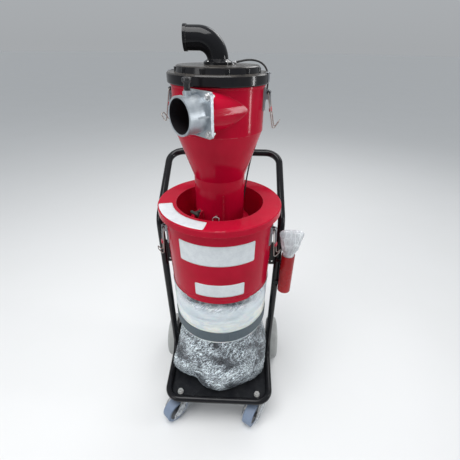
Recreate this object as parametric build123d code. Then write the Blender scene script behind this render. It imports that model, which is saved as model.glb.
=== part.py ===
from build123d import *
import os
from math import cos, sin, radians, sqrt, pi

# Wheeled cyclone pre-separator on a bent tube trolley.
# Millimetres, Z up. X is across the trolley, the front is towards -Y.
# The cyclone axis is the vertical line x = 0, y = 0 and the floor is z = 0.

# Hopper drum and the pan that closes its top
RIM_TOP = 905.0
RIM_R = 200.0
RIM_IN_R = 141.0
LIP_DROP = 22.0
SHEET = 3.0
DRUM_LEDGE = 18.0
DRUM_TAPER = 6.0
DRUM_H = 299.0
DRUM_CORNER = 2.0
HEM_H = 19.0
HEM_GROOVE = 1.5
SPIGOT_STEP = 26.0
SPIGOT_H = 22.0
RECESS_TAPER = 5.0
RECESS_DEPTH = 105.0
DRUM_TOP_R = RIM_R - DRUM_LEDGE
DRUM_BOT_R = DRUM_TOP_R - DRUM_TAPER
DRUM_BOT = RIM_TOP - DRUM_H
SPIGOT_R = DRUM_BOT_R - SPIGOT_STEP
SPIGOT_BOT = DRUM_BOT - SPIGOT_H
RECESS_R = RIM_IN_R - RECESS_TAPER
RECESS_FLOOR = RIM_TOP - RECESS_DEPTH

# Rear wheels and casters
WHEEL_R = 100.0
WHEEL_W = 44.0
WHEEL_Y = 112.0
WHEEL_OUT = 8.0
TREAD_SHOULDER = 13.0
AXLE_R = 10.0
CASTER_WHEEL_R = 50.0
CASTER_WHEEL_W = 40.0
CASTER_TRAIL = 34.0
CASTER_HEAD = 28.3
CASTER_ANGLE = {"left": 228.0, "right": 240.0}
PIN_CLEAR = 0.05

# Frame and tray
TUBE_R = 12.7
FRAME_GAP = 10.0
FRONT_TAPER = 6.0
TRAY_T = 3.0
POST_Y = 6.0
FRONT_Y = -245.0
TRAY_REAR_Y = 140.0
BEND_DROP = 78.0
HANDLE_Y = 270.0
HANDLE_RISE = 75.0
FRAME_BEND_R = 52.0
HALF_TRACK = RIM_R + FRAME_GAP
TRAY_TOP = 2 * CASTER_WHEEL_R + CASTER_HEAD + TRAY_T
BASE_Z = TRAY_TOP + TUBE_R
BEND_Z = RIM_TOP - BEND_DROP
HANDLE_Z = RIM_TOP + HANDLE_RISE
WHEEL_X = HALF_TRACK + WHEEL_OUT + WHEEL_W / 2
CASTER_X = HALF_TRACK - 53.0
CASTER_Y = FRONT_Y + 36.0

# Lid
BAND_CLEAR = 3.0
BAND_T = 6.0
BAND_OVERLAP = 19.0
LID_T = 5.0
TIER_STEP = 22.0
TIER_H = 15.0
CROWN_T = 4.0
LOBES = 12
LOBE_R = 10.0

# Cyclone, from its foot in the recess up to the lid
NECK_R = 78.0
NECK_H = 194.0
CONE_H = 137.0
BODY_R = 124.0
BODY_T = 2.5
FOOT_FLARE = 27.0
FOOT_H = 42.0
DUCT_R = 45.0
DUCT_INSET = 0.5
DUCT_FOOT = 18.0
DUCT_HEAD = 8.0
FOOT_R = NECK_R + FOOT_FLARE
BODY_H = DUCT_FOOT + 2 * DUCT_R + DUCT_HEAD + BAND_OVERLAP
CONE_BOT = RECESS_FLOOR + NECK_H
CONE_TOP = CONE_BOT + CONE_H
BODY_TOP = CONE_TOP + BODY_H
BAND_R = BODY_R + BAND_CLEAR + BAND_T
BAND_BOT = BODY_TOP - BAND_OVERLAP
BAND_TOP = BODY_TOP + LID_T
TIER_R = BAND_R - TIER_STEP
LID_TOP = BAND_TOP + TIER_H

# Tangential inlet with its cast spout
INLET_AZ = 225.0
INLET_R = 38.0
SPOUT_WALL = 3.5
SPOUT_LEN = 51.0
FLANGE_T = 8.0
FLANGE_EDGE = 5.0
FLANGE_CLEAR = 4.3
KNOB_SEAT = 24.0
INLET_Z = CONE_TOP + DUCT_FOOT + DUCT_R
DUCT_OFFSET = BODY_R - DUCT_R - DUCT_INSET
FLANGE_SIDE = 2 * (DUCT_R + FLANGE_EDGE)
DUCT_LEN = sqrt(BODY_R ** 2 - (DUCT_OFFSET - FLANGE_SIDE / 2) ** 2) + FLANGE_CLEAR
BOSS_H = INLET_R + 13.0

# Outlet elbow and the tube under it
OUTLET_R = 27.0
OUTLET_T = 3.0
OUTLET_BEND = 48.0
OUTLET_STEM = 8.0
OUTLET_MOUTH = 36.0
OUTLET_FLANGE = 10.0
VORTEX_DIP = 11.0
OUTLET_Z = LID_TOP + OUTLET_STEM + OUTLET_BEND
OUTLET_REACH = OUTLET_BEND + OUTLET_MOUTH
VORTEX_BOT = CONE_TOP - VORTEX_DIP

# Bag store under the drum, and the wrapped bundle on the tray
STORE_T = 26.0
STORE_DROP = 2.0
STORE_H = 196.0
STRAP_INSET = 7.0
STRAP_W = 47.0
STRAP_T = 3.0
BUNDLE_GAP = 8.7
BUNDLE_Y = -30.0
STORE_R = SPIGOT_R + STORE_T
STORE_TOP = DRUM_BOT - STORE_DROP
STORE_BOT = STORE_TOP - STORE_H
STRAP_BOT = STORE_BOT + STRAP_INSET
STRAP_TOP = STRAP_BOT + STRAP_W
BUNDLE_R = HALF_TRACK - 20.0
BUNDLE_H = STORE_BOT - BUNDLE_GAP - TRAY_TOP

# Brackets from the posts to the drum
BRACKET_T = 6.0
BRACKET_LIFT = 39.0
BRACKET_H = 93.0
BRACKET_DEPTH = 34.0
BRACKET_HOLE_R = 4.0
BRACKET_BOT = DRUM_BOT + BRACKET_LIFT
BRACKET_TOP = BRACKET_BOT + BRACKET_H

# Tube holder beside the right post
HOLDER_R = 24.0
HOLDER_WALL = 2.0
HOLDER_GAP = 3.0
HOLDER_H = 165.0
HOLDER_DROP = 68.0
HOLDER_ANGLE = -30.0
CLIP_INSET = 30.0
CLIP_H = 14.0
HOLDER_BOT = DRUM_BOT - HOLDER_DROP
HOLDER_TOP = HOLDER_BOT + HOLDER_H

# Latches, clamp and lead
WIRE_R = 1.5
LATCH_OUT = 12.0
BAIL_HALF = 14.0
HOOK_UP = 24.0
HOOK_OUT = 15.0
LID_PIVOT_DROP = 39.0
DRUM_PIVOT_DROP = 67.0
CLAMP_AZ = 226.0
CLAMP_DROP = 21.0
RING_AZ = 266.0
LEAD_R = 2.5
STUD_R = 7.0
STUD_H = 12.0

parts = {}


def ring_profile(points):
    return revolve(Plane.XZ * make_face(Polyline(*points, close=True)), axis=Axis.Z)


def cylinder_between(a, b, r):
    a = Vector(*a)
    b = Vector(*b)
    d = b - a
    return Plane(origin=a, z_dir=d.normalized()) * Cylinder(
        r, d.length, align=(Align.CENTER, Align.CENTER, Align.MIN))


def tube_z(r, z0, z1, x=0.0, y=0.0):
    return Pos(x, y, z0) * Cylinder(r, z1 - z0, align=(Align.CENTER, Align.CENTER, Align.MIN))


def block(x0, x1, y0, y1, z0, z1):
    return Pos((x0 + x1) / 2, (y0 + y1) / 2, (z0 + z1) / 2) * Box(x1 - x0, y1 - y0, z1 - z0)


def hex_prism(across, z0, z1, x=0.0, y=0.0):
    return Pos(x, y, z0) * extrude(RegularPolygon(across / 2, 6, major_radius=False), z1 - z0)


def wire_loop(points, r, bend):
    path = FilletPolyline(*points, radius=bend, close=True)
    start = Plane(origin=path @ 0, z_dir=path % 0)
    return sweep(start * Circle(r), path=path)


def drum_radius(z):
    return DRUM_BOT_R + DRUM_TAPER * (z - DRUM_BOT) / DRUM_H


def drum_envelope():
    return ring_profile([(0, DRUM_BOT), (DRUM_BOT_R, DRUM_BOT), (DRUM_TOP_R, RIM_TOP), (0, RIM_TOP)])


# Frame: one tube bent into a closed loop, leaning back above the drum
def make_frame():
    half_front = HALF_TRACK - FRONT_TAPER
    points = [
        (-HALF_TRACK, HANDLE_Y, HANDLE_Z), (HALF_TRACK, HANDLE_Y, HANDLE_Z),
        (HALF_TRACK, POST_Y, BEND_Z), (HALF_TRACK, POST_Y, BASE_Z),
        (half_front, FRONT_Y, BASE_Z), (-half_front, FRONT_Y, BASE_Z),
        (-HALF_TRACK, POST_Y, BASE_Z), (-HALF_TRACK, POST_Y, BEND_Z),
    ]
    return wire_loop(points, TUBE_R, FRAME_BEND_R)


# Tray: a plate under the tube, an upturned rear edge and two axle cheeks
def make_tray():
    half = HALF_TRACK - 2.0
    outline = Polyline(
        (-half, TRAY_REAR_Y), (half, TRAY_REAR_Y), (half, POST_Y), (half - FRONT_TAPER, FRONT_Y + 40),
        (half - 44, FRONT_Y - 2), (-half + 44, FRONT_Y - 2), (-half + FRONT_TAPER, FRONT_Y + 40),
        (-half, POST_Y), close=True)
    tray = Pos(0, 0, TRAY_TOP - TRAY_T) * extrude(make_face(outline), TRAY_T)
    for side in (-1, 1):
        x = side * (HALF_TRACK - 16)
        tray += block(
            x - 2, x + 2, WHEEL_Y - 34, WHEEL_Y + 24, WHEEL_R - 2 * AXLE_R, TRAY_TOP - TRAY_T)
        tray -= tube_z(6.0, TRAY_TOP - 10, TRAY_TOP + 10, side * CASTER_X, CASTER_Y)
    tray -= cylinder_between((-WHEEL_X, WHEEL_Y, WHEEL_R), (WHEEL_X, WHEEL_Y, WHEEL_R), AXLE_R)
    return tray + block(
        -half + 30, half - 30, TRAY_REAR_Y - TRAY_T, TRAY_REAR_Y, TRAY_TOP, TRAY_TOP + 14)


def make_axle():
    cap_t = 9.0
    play = 0.4
    end = WHEEL_X + WHEEL_W / 2 + play
    axle = cylinder_between((-end, WHEEL_Y, WHEEL_R), (end, WHEEL_Y, WHEEL_R), AXLE_R)
    for side in (-1, 1):
        inner = side * (HALF_TRACK - 14)
        outer = side * (WHEEL_X - WHEEL_W / 2 - play)
        axle += cylinder_between((inner, WHEEL_Y, WHEEL_R), (outer, WHEEL_Y, WHEEL_R), AXLE_R + 4)
        axle += cylinder_between(
            (side * end, WHEEL_Y, WHEEL_R), (side * (end + cap_t), WHEEL_Y, WHEEL_R), AXLE_R + 5)
    return axle


def tyre_ring(inner, outer, half, shoulder):
    section = make_face(Polyline(
        (inner, -half + 1), (outer, -half), (outer, half), (inner, half - 1), close=True))
    corners = section.vertices().filter_by(lambda v: v.X > outer - 1)
    return revolve(Plane.XZ * fillet(corners, shoulder), axis=Axis.Z)


def make_wheel(side):
    w = WHEEL_W / 2
    tyre_in = WHEEL_R * 0.72
    bore = AXLE_R + PIN_CLEAR
    hub = AXLE_R + 14
    place = Pos(side * WHEEL_X, WHEEL_Y, WHEEL_R) * Rot(0, 90, 0)
    rim = ring_profile([
        (bore, -w), (hub, -w), (hub, -5), (tyre_in - 10, -5), (tyre_in - 10, -w + 3),
        (tyre_in, -w + 3), (tyre_in, w - 3), (tyre_in - 10, w - 3), (tyre_in - 10, 5), (hub, 5),
        (hub, w), (bore, w)])
    return place * rim, place * tyre_ring(tyre_in, WHEEL_R, w, TREAD_SHOULDER)


# Swivel caster: king bolt through the tray, fork, wheel
def make_caster(side, angle):
    bolt_r = 6.0
    pin_r = 4.0
    leg_t = 3.0
    under = TRAY_TOP - TRAY_T
    crown = 2 * CASTER_WHEEL_R + 6
    place = Pos(side * CASTER_X, CASTER_Y, 0) * Rot(0, 0, angle)
    mount = tube_z(bolt_r, crown - 7, TRAY_TOP)
    mount += hex_prism(19, TRAY_TOP, TRAY_TOP + 9)
    mount += tube_z(9, crown - 5.8, crown - 0.2)
    mount += ring_profile([
        (bolt_r, crown + 8.2), (19, crown + 8.2), (24, under - 4), (24, under), (bolt_r, under)])
    mount = Pos(side * CASTER_X, CASTER_Y, 0) * mount

    gap = CASTER_WHEEL_W / 2 + 5
    fork = tube_z(24, crown, crown + leg_t)
    fork += ring_profile([(10, crown + 3), (20, crown + 3), (18, crown + 8), (10, crown + 8)])
    fork += block(-14, CASTER_TRAIL * 0.55, -gap - leg_t, gap + leg_t, crown, crown + leg_t)
    for s in (-1, 1):
        outline = Polyline(
            (-14, crown + leg_t), (CASTER_TRAIL * 0.55, crown + leg_t),
            (CASTER_TRAIL + 14, CASTER_WHEEL_R + 4), (CASTER_TRAIL + 12, CASTER_WHEEL_R - 12),
            (CASTER_TRAIL - 8, CASTER_WHEEL_R - 12), close=True)
        leg = extrude(Plane.XZ * make_face(outline), leg_t)
        fork += Pos(0, max(s * gap, s * (gap + leg_t)), 0) * leg
    fork -= tube_z(bolt_r + PIN_CLEAR, crown - 5, crown + 12)
    fork += cylinder_between(
        (CASTER_TRAIL, -gap - 6, CASTER_WHEEL_R), (CASTER_TRAIL, gap + 6, CASTER_WHEEL_R), pin_r)
    for s in (-1, 1):
        nut = Plane(origin=(CASTER_TRAIL, s * (gap + leg_t), CASTER_WHEEL_R), z_dir=(0, s, 0))
        fork += nut * extrude(RegularPolygon(7.5, 6, major_radius=False), 6)
    fork = place * fork

    w = CASTER_WHEEL_W / 2
    r = CASTER_WHEEL_R
    core_r = r - 12
    bore = pin_r + PIN_CLEAR
    spin = place * Pos(CASTER_TRAIL, 0, r) * Rot(90, 0, 0)
    core = spin * ring_profile([
        (bore, -w - 3), (10, -w - 3), (12, -w + 3), (core_r - 4, -w + 4), (core_r, -w + 1),
        (core_r, w - 1), (core_r - 4, w - 4), (12, w - 3), (10, w + 3), (bore, w + 3)])
    return mount, fork, core, spin * tyre_ring(core_r, r, w, 3)


# Hopper drum: a tapered wall with a grooved hem at its foot and the spigot that the bag hangs on
def make_drum():
    t = SHEET
    seat = RIM_TOP - t
    groove = DRUM_BOT + HEM_H
    corner = DRUM_CORNER
    return ring_profile([
        (drum_radius(seat), seat), (drum_radius(groove + 3), groove + 3),
        (drum_radius(groove) - HEM_GROOVE, groove + 1.5), (drum_radius(groove), groove),
        (DRUM_BOT_R, DRUM_BOT + corner), (DRUM_BOT_R - corner, DRUM_BOT), (SPIGOT_R, DRUM_BOT),
        (SPIGOT_R, SPIGOT_BOT), (SPIGOT_R - t, SPIGOT_BOT), (SPIGOT_R - t, DRUM_BOT + t),
        (DRUM_BOT_R - t - 1, DRUM_BOT + t), (drum_radius(seat) - t, seat)])


# Recess pan: flat rim with a turned-down lip, sloped wall and a floor that holds the foot
def make_pan():
    t = SHEET
    top = RIM_TOP
    throat = NECK_R - BODY_T
    return ring_profile([
        (RIM_IN_R, top), (RIM_R - t, top), (RIM_R, top - t), (RIM_R, top - LIP_DROP),
        (RIM_R - t, top - LIP_DROP), (RIM_R - t, top - t), (RIM_IN_R + t, top - t),
        (RECESS_R + t, RECESS_FLOOR - t), (throat, RECESS_FLOOR - t), (throat, RECESS_FLOOR),
        (RECESS_R, RECESS_FLOOR), (RECESS_R, RECESS_FLOOR + 4), (RIM_IN_R, top - 4)])


def inlet_frame(distance):
    az = radians(INLET_AZ)
    side = az + pi / 2
    x = DUCT_OFFSET * cos(side) + distance * cos(az)
    y = DUCT_OFFSET * sin(side) + distance * sin(az)
    return Plane(origin=(x, y, INLET_Z), x_dir=(-sin(az), cos(az), 0), z_dir=(cos(az), sin(az), 0))


def inlet_bar(r, start, length):
    return inlet_frame(start) * Cylinder(r, length, align=(Align.CENTER, Align.CENTER, Align.MIN))


def cone_outline():
    foot_top = RECESS_FLOOR + FOOT_H
    return [
        (FOOT_R, RECESS_FLOOR), (FOOT_R, foot_top - 10), (FOOT_R - 6, foot_top - 2),
        (NECK_R, foot_top + 10), (NECK_R, CONE_BOT), (BODY_R, CONE_TOP)]


def body_outer():
    return ring_profile([(0, RECESS_FLOOR), *cone_outline(), (BODY_R, BODY_TOP), (0, BODY_TOP)])


# Cyclone cone: foot, neck and cone in one, with the seam fin down the neck and the earth stud
def make_cone():
    t = BODY_T
    cone = ring_profile([
        *cone_outline(), (BODY_R - t, CONE_TOP), (NECK_R - t, CONE_BOT), (NECK_R - t, RECESS_FLOOR)])
    fin = block(NECK_R - 1, NECK_R + 4, -1.5, 1.5, RECESS_FLOOR + FOOT_H + 8, CONE_BOT - 40)
    x, y, z = LEAD_POINTS[-1]
    stud = tube_z(STUD_R, z - 24, z - 4, x, y) + tube_z(STUD_R / 2, z - 4, z - 1.4, x, y)
    return cone + Rot(0, 0, -78) * fin + (stud - tube_z(NECK_R - 1, RECESS_FLOOR, RIM_TOP))


# Cyclone body: the cylinder, with a bead under the lid's band and the hole for the duct
def make_cyclone():
    t = BODY_T
    bead = BAND_BOT - 4
    return ring_profile([
        (BODY_R - t, CONE_TOP), (BODY_R, CONE_TOP), (BODY_R, bead - 3), (BODY_R + 2, bead - 1.5),
        (BODY_R + 2, bead + 1.5), (BODY_R, bead + 3), (BODY_R, BODY_TOP), (BODY_R - t, BODY_TOP),
    ]) - inlet_bar(DUCT_R - t, 8, DUCT_LEN)


# Inlet duct: a round tube that meets the body along its side
def make_duct():
    duct = inlet_bar(DUCT_R, 0, DUCT_LEN) - inlet_bar(DUCT_R - BODY_T, -1, DUCT_LEN + 2)
    return duct - tube_z(BODY_R, CONE_TOP - 10, BODY_TOP)


def make_inlet():
    face = DUCT_LEN + FLANGE_T
    spout = inlet_frame(DUCT_LEN) * extrude(RectangleRounded(FLANGE_SIDE, FLANGE_SIDE, 8), FLANGE_T)
    spout += inlet_bar(INLET_R + SPOUT_WALL, DUCT_LEN, FLANGE_T + SPOUT_LEN)
    spout += inlet_bar(INLET_R + SPOUT_WALL + 1.5, face + SPOUT_LEN - 10, 10)
    for turn in range(4):
        rib = Plane.XZ * make_face(Polyline(
            (INLET_R + 2, 0), (FLANGE_SIDE / 2 - 3, 0), (INLET_R + 2, SPOUT_LEN - 14), close=True))
        rib = Pos(0, 2, 0) * extrude(rib, 4)
        spout += inlet_frame(face) * Rot(0, 0, 90 * turn) * rib
    at = inlet_frame(face + KNOB_SEAT).origin
    spout += tube_z(9, INLET_Z, INLET_Z + BOSS_H, at.X, at.Y)
    return spout - inlet_bar(INLET_R, DUCT_LEN - 1, FLANGE_T + SPOUT_LEN + 2)


def make_inlet_knob():
    at = inlet_frame(DUCT_LEN + FLANGE_T + KNOB_SEAT).origin
    knob = ring_profile([
        (0, 0), (7, 0), (7.5, 12), (8, 15), (10, 16), (11, 20), (10.5, 24), (7, 26), (0, 26)])
    return Pos(at.X, at.Y, INLET_Z + BOSS_H) * knob


# Lid: a band over the cyclone's edge, and a raised tier with lobes round it
def make_lid():
    wall = 6.0
    inner = BODY_R + BAND_CLEAR
    lid = ring_profile([
        (OUTLET_R, LID_TOP - CROWN_T), (TIER_R - wall - 2, LID_TOP - CROWN_T),
        (TIER_R - wall, BODY_TOP + 4), (TIER_R - wall, BODY_TOP), (inner, BODY_TOP),
        (inner, BAND_BOT), (BAND_R - 1, BAND_BOT), (BAND_R, BAND_BOT + 2), (BAND_R, BAND_TOP - 3),
        (BAND_R - 3, BAND_TOP), (TIER_R, BAND_TOP), (TIER_R - 3, LID_TOP - 2),
        (TIER_R - 6, LID_TOP), (OUTLET_R, LID_TOP)])
    for i in range(LOBES):
        a = 2 * pi * (i + 0.5) / LOBES
        reach = TIER_R - LOBE_R + 2
        lobe = tube_z(LOBE_R, BAND_TOP - 1, LID_TOP - CROWN_T, reach * cos(a), reach * sin(a))
        lid += lobe - tube_z(TIER_R - wall, BODY_TOP, LID_TOP)
    return lid


def make_vortex_tube():
    r = OUTLET_R
    t = OUTLET_T
    return ring_profile([(r - t, VORTEX_BOT), (r, VORTEX_BOT), (r, LID_TOP), (r - t, LID_TOP)])


def make_elbow():
    r = OUTLET_R
    foot = r + OUTLET_FLANGE
    path = FilletPolyline(
        (0, 0, LID_TOP), (0, 0, OUTLET_Z), (-OUTLET_REACH, 0, OUTLET_Z), radius=OUTLET_BEND)
    start = Plane(origin=path @ 0, z_dir=path % 0)
    skin = sweep(start * Circle(r), path=path)
    skin += ring_profile([
        (0, LID_TOP), (foot, LID_TOP), (foot, LID_TOP + 6), (r, LID_TOP + 12), (0, LID_TOP + 12)])
    skin += cylinder_between(
        (-OUTLET_REACH + 8, 0, OUTLET_Z), (-OUTLET_REACH, 0, OUTLET_Z), r + 2)
    bore = sweep(start * Circle(r - OUTLET_T), path=path)
    return skin - bore


# Toggle latch on a round wall, in a frame whose X points outwards
def latch_body(wall, pivot_z, length, wall_r):
    x = wall_r
    pivot = x + LATCH_OUT
    latch = block(x - 4, x + 3, -11, 11, pivot_z - length, pivot_z + 10)
    for s in (-1, 1):
        latch += block(x, pivot, s * 6 - 1.2, s * 6 + 1.2, pivot_z - 16, pivot_z + 6)
    latch += Pos(pivot, 0, pivot_z) * Rot(90, 0, 0) * Cylinder(4.5, 15)
    latch += Pos(pivot + 5, 0, pivot_z - length / 2) * Rot(0, -5, 0) * Box(3, 14, length)
    latch -= Pos(pivot, 0, pivot_z) * Rot(90, 0, 0) * Cylinder(WIRE_R + PIN_CLEAR, 40)
    return latch - wall


def latch_bail(pivot_z, drop, wall_r, lean):
    x = wall_r + LATCH_OUT
    half = BAIL_HALF
    foot = x + 9 + lean
    low = pivot_z - drop
    return wire_loop([
        (x, half, pivot_z), (foot, half, low), (foot + HOOK_OUT, half - 4, low + HOOK_UP),
        (foot + HOOK_OUT, -half + 4, low + HOOK_UP), (foot, -half, low), (x, -half, pivot_z)],
        WIRE_R, 4.0)


# Each latch: angle round the axis, pivot height, lever length, wall radius, bail drop and lean
LID_PIVOT = BODY_TOP - LID_PIVOT_DROP
DRUM_PIVOT = RIM_TOP - DRUM_PIVOT_DROP
DRUM_LATCH_R = drum_radius(DRUM_PIVOT - 28)
LATCHES = {
    "lid_latch_left": (168, LID_PIVOT, 44, BODY_R, 90, 10),
    "lid_latch_right": (-12, LID_PIVOT, 44, BODY_R, 90, 10),
    "drum_latch_left": (200, DRUM_PIVOT, 60, DRUM_LATCH_R, 102, 0),
    "drum_latch_right": (-20, DRUM_PIVOT, 60, DRUM_LATCH_R, 102, 0),
}


def make_latch(name):
    angle, z, length, wall_r, drop, lean = LATCHES[name]
    wall = body_outer() if name.startswith("lid") else drum_envelope()
    turn = Rot(0, 0, angle)
    return turn * latch_body(wall, z, length, wall_r), turn * latch_bail(z, drop, wall_r, lean)


# Bracket: a plate from the post to the drum, with a foot that follows the drum's wall
def make_bracket(side):
    half = BRACKET_T / 2
    hole_z = BRACKET_BOT + 3 * BRACKET_HOLE_R
    inner = DRUM_BOT_R - BRACKET_T
    foot = drum_radius(BRACKET_BOT) + BRACKET_T
    hole_x = (foot + HALF_TRACK - TUBE_R) / 2
    plate = block(inner, HALF_TRACK, POST_Y - half, POST_Y + half, BRACKET_BOT, BRACKET_TOP)
    plate += block(inner, foot, POST_Y - half, POST_Y + BRACKET_DEPTH, BRACKET_BOT, BRACKET_TOP)
    plate -= cylinder_between((hole_x, POST_Y - 20, hole_z), (hole_x, POST_Y + 20, hole_z), BRACKET_HOLE_R)
    plate = plate - drum_envelope() - tube_z(TUBE_R, BASE_Z, RIM_TOP, HALF_TRACK, POST_Y)
    return plate if side > 0 else mirror(plate, about=Plane.YZ)


# Folded bag store hanging on the spigot, with its holding strap
def make_bag_store():
    return ring_profile([
        (SPIGOT_R, STORE_TOP), (STORE_R - 9, STORE_TOP), (STORE_R - 3, STORE_TOP - 8),
        (STORE_R, STORE_TOP - 24), (STORE_R, STORE_BOT), (SPIGOT_R, STORE_BOT)])


def make_strap():
    outer = STORE_R + STRAP_T
    return ring_profile([
        (STORE_R, STRAP_BOT), (outer, STRAP_BOT), (outer, STRAP_TOP), (STORE_R, STRAP_TOP)])


# Bundle outline: directions in degrees, then at each share of its height the reach in
# hundredths of BUNDLE_R. It lumps out by the left post and forwards over the tray's middle.
BUNDLE_TURNS = (
    0, 25, 50, 75, 100, 130, 160, 180, 195, 208, 222, 236, 250, 263, 276, 290, 305, 320, 334, 347)
BUNDLE_REACH = {
    0.0: (96, 101, 98, 84, 82, 96, 99, 97, 98, 93, 82, 77, 86, 88, 88, 85, 86, 92, 97, 96),
    0.13: (100, 105, 106, 88, 86, 103, 103, 101, 102, 108, 96, 87, 95, 97, 97, 94, 95, 102, 106, 102),
    0.31: (100, 106, 110, 95, 93, 109, 103, 98, 103, 114, 100, 90, 90, 95, 96, 96, 98, 105, 106, 102),
    0.63: (98, 101, 104, 94, 93, 100, 95, 92, 93, 95, 91, 85, 83, 82, 82, 84, 89, 96, 101, 100),
    1.0: (79, 83, 84, 79, 78, 82, 78, 75, 74, 75, 73, 68, 65, 63, 63, 65, 69, 76, 79, 78),
}


def make_bundle():
    sections = []
    for share, reach in BUNDLE_REACH.items():
        ring = []
        for turn, hundredths in zip(BUNDLE_TURNS, reach):
            r = BUNDLE_R * hundredths / 100
            ring.append((r * cos(radians(turn)), r * sin(radians(turn))))
        outline = make_face(Spline(*ring, periodic=True))
        sections.append(Pos(0, BUNDLE_Y, TRAY_TOP + BUNDLE_H * share) * outline)
    return loft(sections)


def holder_point(reach):
    a = radians(HOLDER_ANGLE)
    return HALF_TRACK + reach * cos(a), POST_Y + reach * sin(a)


def holder_centre():
    return holder_point(TUBE_R + HOLDER_GAP + HOLDER_R)


def make_holder():
    x, y = holder_centre()
    cup = ring_profile([
        (0, HOLDER_BOT), (HOLDER_R, HOLDER_BOT), (HOLDER_R, HOLDER_TOP),
        (HOLDER_R - HOLDER_WALL, HOLDER_TOP), (HOLDER_R - HOLDER_WALL, HOLDER_BOT + 3),
        (0, HOLDER_BOT + 3)])
    return Pos(x, y, 0) * cup


# Holder bracket: a flat strip between post and cup, with a saddle for both at each end
def make_holder_bracket():
    x, y = holder_centre()
    mid_x, mid_y = holder_point(TUBE_R + HOLDER_GAP / 2)
    low = HOLDER_BOT + CLIP_INSET
    high = HOLDER_TOP - CLIP_INSET
    place = Pos(mid_x, mid_y, 0) * Rot(0, 0, HOLDER_ANGLE)
    strip_t = HOLDER_GAP - 0.6
    bracket = block(-strip_t / 2, strip_t / 2, -6, 6, low, high)
    for z in (low, high):
        bracket += block(-12, 12, -14, 14, z - CLIP_H / 2, z + CLIP_H / 2)
    post = tube_z(TUBE_R, 0, RIM_TOP, HALF_TRACK, POST_Y)
    return place * bracket - tube_z(HOLDER_R, 0, RIM_TOP, x, y) - post


def make_holder_bag():
    x, y = holder_centre()
    r = HOLDER_R - HOLDER_WALL - 0.3
    top = HOLDER_TOP
    front = y - 26
    return loft([
        Pos(x, y, HOLDER_BOT + 20) * Circle(r - 3), Pos(x, y, top - 20) * Circle(r),
        Pos(x, y - 1, top + 2) * Circle(r - 1), Pos(x, front, top + 60) * Ellipse(r + 10, 20),
        Pos(x + 1, front, top + 103) * Ellipse(r + 16, 20), Pos(x - 4, front, top + 116) * Ellipse(r + 6, 12)],
        ruled=True)


# Hold-down clamp on the cyclone neck: two sloped cheeks on a pad, and the grip between them
def make_neck_clamp():
    z = RIM_TOP - CLAMP_DROP
    r = NECK_R
    lug = block(r - 4, r + 2, -12, 12, z - 30, z + 12)
    cheek = make_face(Polyline(
        (r - 4, z - 30), (r + 10, z - 30), (r + 21, z - 14), (r + 21, z - 6), (r + 4, z + 14),
        (r - 4, z + 14), close=True))
    for s in (-1, 1):
        lug += Pos(0, s * 8 + 2, 0) * extrude(Plane.XZ * cheek, 4)
    return Rot(0, 0, CLAMP_AZ) * (lug - tube_z(r, RECESS_FLOOR, RIM_TOP + 100))


def make_clamp_grip():
    z = RIM_TOP - CLAMP_DROP + 8
    grip = Pos(NECK_R + 26, 0, z) * Rot(90, 0, 0) * Cylinder(5, 34)
    link = block(NECK_R + 2.3, NECK_R + 26, -5.5, 5.5, z - 3, z + 3)
    return Rot(0, 0, CLAMP_AZ) * (grip + link)


def make_ring_pin():
    z = RIM_TOP - CLAMP_DROP + 2
    pin = Pos(NECK_R, 0, z) * Rot(0, 90, 0) * Cylinder(4, 12, align=(Align.CENTER, Align.CENTER, Align.MIN))
    loop = Pos(NECK_R + 14, 0, z - 6) * Rot(0, 70, 0) * Torus(10, WIRE_R)
    pin = pin - tube_z(NECK_R, RECESS_FLOOR, RIM_TOP)
    return Rot(0, 0, RING_AZ) * (pin + loop)


# Earthing lead from the lid down behind the cone to a stud on the foot. The first heights are
# above the lid's top and the last above the stud, and the rest lie between.
STUD_TOP = RECESS_FLOOR + FOOT_H + STUD_H
LEAD_RISE = (LID_TOP - STUD_TOP) / (1286.0 - 854.0)
LEAD_POINTS = [
    (34, 30, LID_TOP + 2.7), (52, 44, LID_TOP + 5), (74, 58, LID_TOP + 9), (98, 70, LID_TOP + 8),
    (119, 80, LID_TOP), (134, 88, LID_TOP - 18)]
for x, y, rise in (
        (138, 92, 382), (133, 97, 339), (126, 102, 293), (117, 105, 247), (107, 104, 200),
        (97, 100, 154), (89, 95, 112), (84, 88, 72), (80, 78, 36)):
    LEAD_POINTS.append((x, y, STUD_TOP + rise * LEAD_RISE))
LEAD_POINTS += [(75, 64, STUD_TOP + 12), (72, 55, STUD_TOP)]


def make_lead():
    points = [Vector(*p) for p in LEAD_POINTS]
    radii = []
    for before, corner, after in zip(points, points[1:], points[2:]):
        into = corner - before
        out = after - corner
        half = radians(into.get_angle(out)) / 2
        radii.append(0.45 * min(into.length, out.length) * cos(half) / sin(half))
    path = FilletPolyline(*points, radius=radii)
    section = Plane(origin=path @ 0, z_dir=path % 0) * Circle(LEAD_R)
    lead = sweep(section, path=path)
    print("lead length", round(path.length, 1), "tightest bend", round(min(radii), 1))
    print("lead volume against its length", round(lead.volume / (pi * LEAD_R ** 2 * path.length), 4))
    return lead


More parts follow.
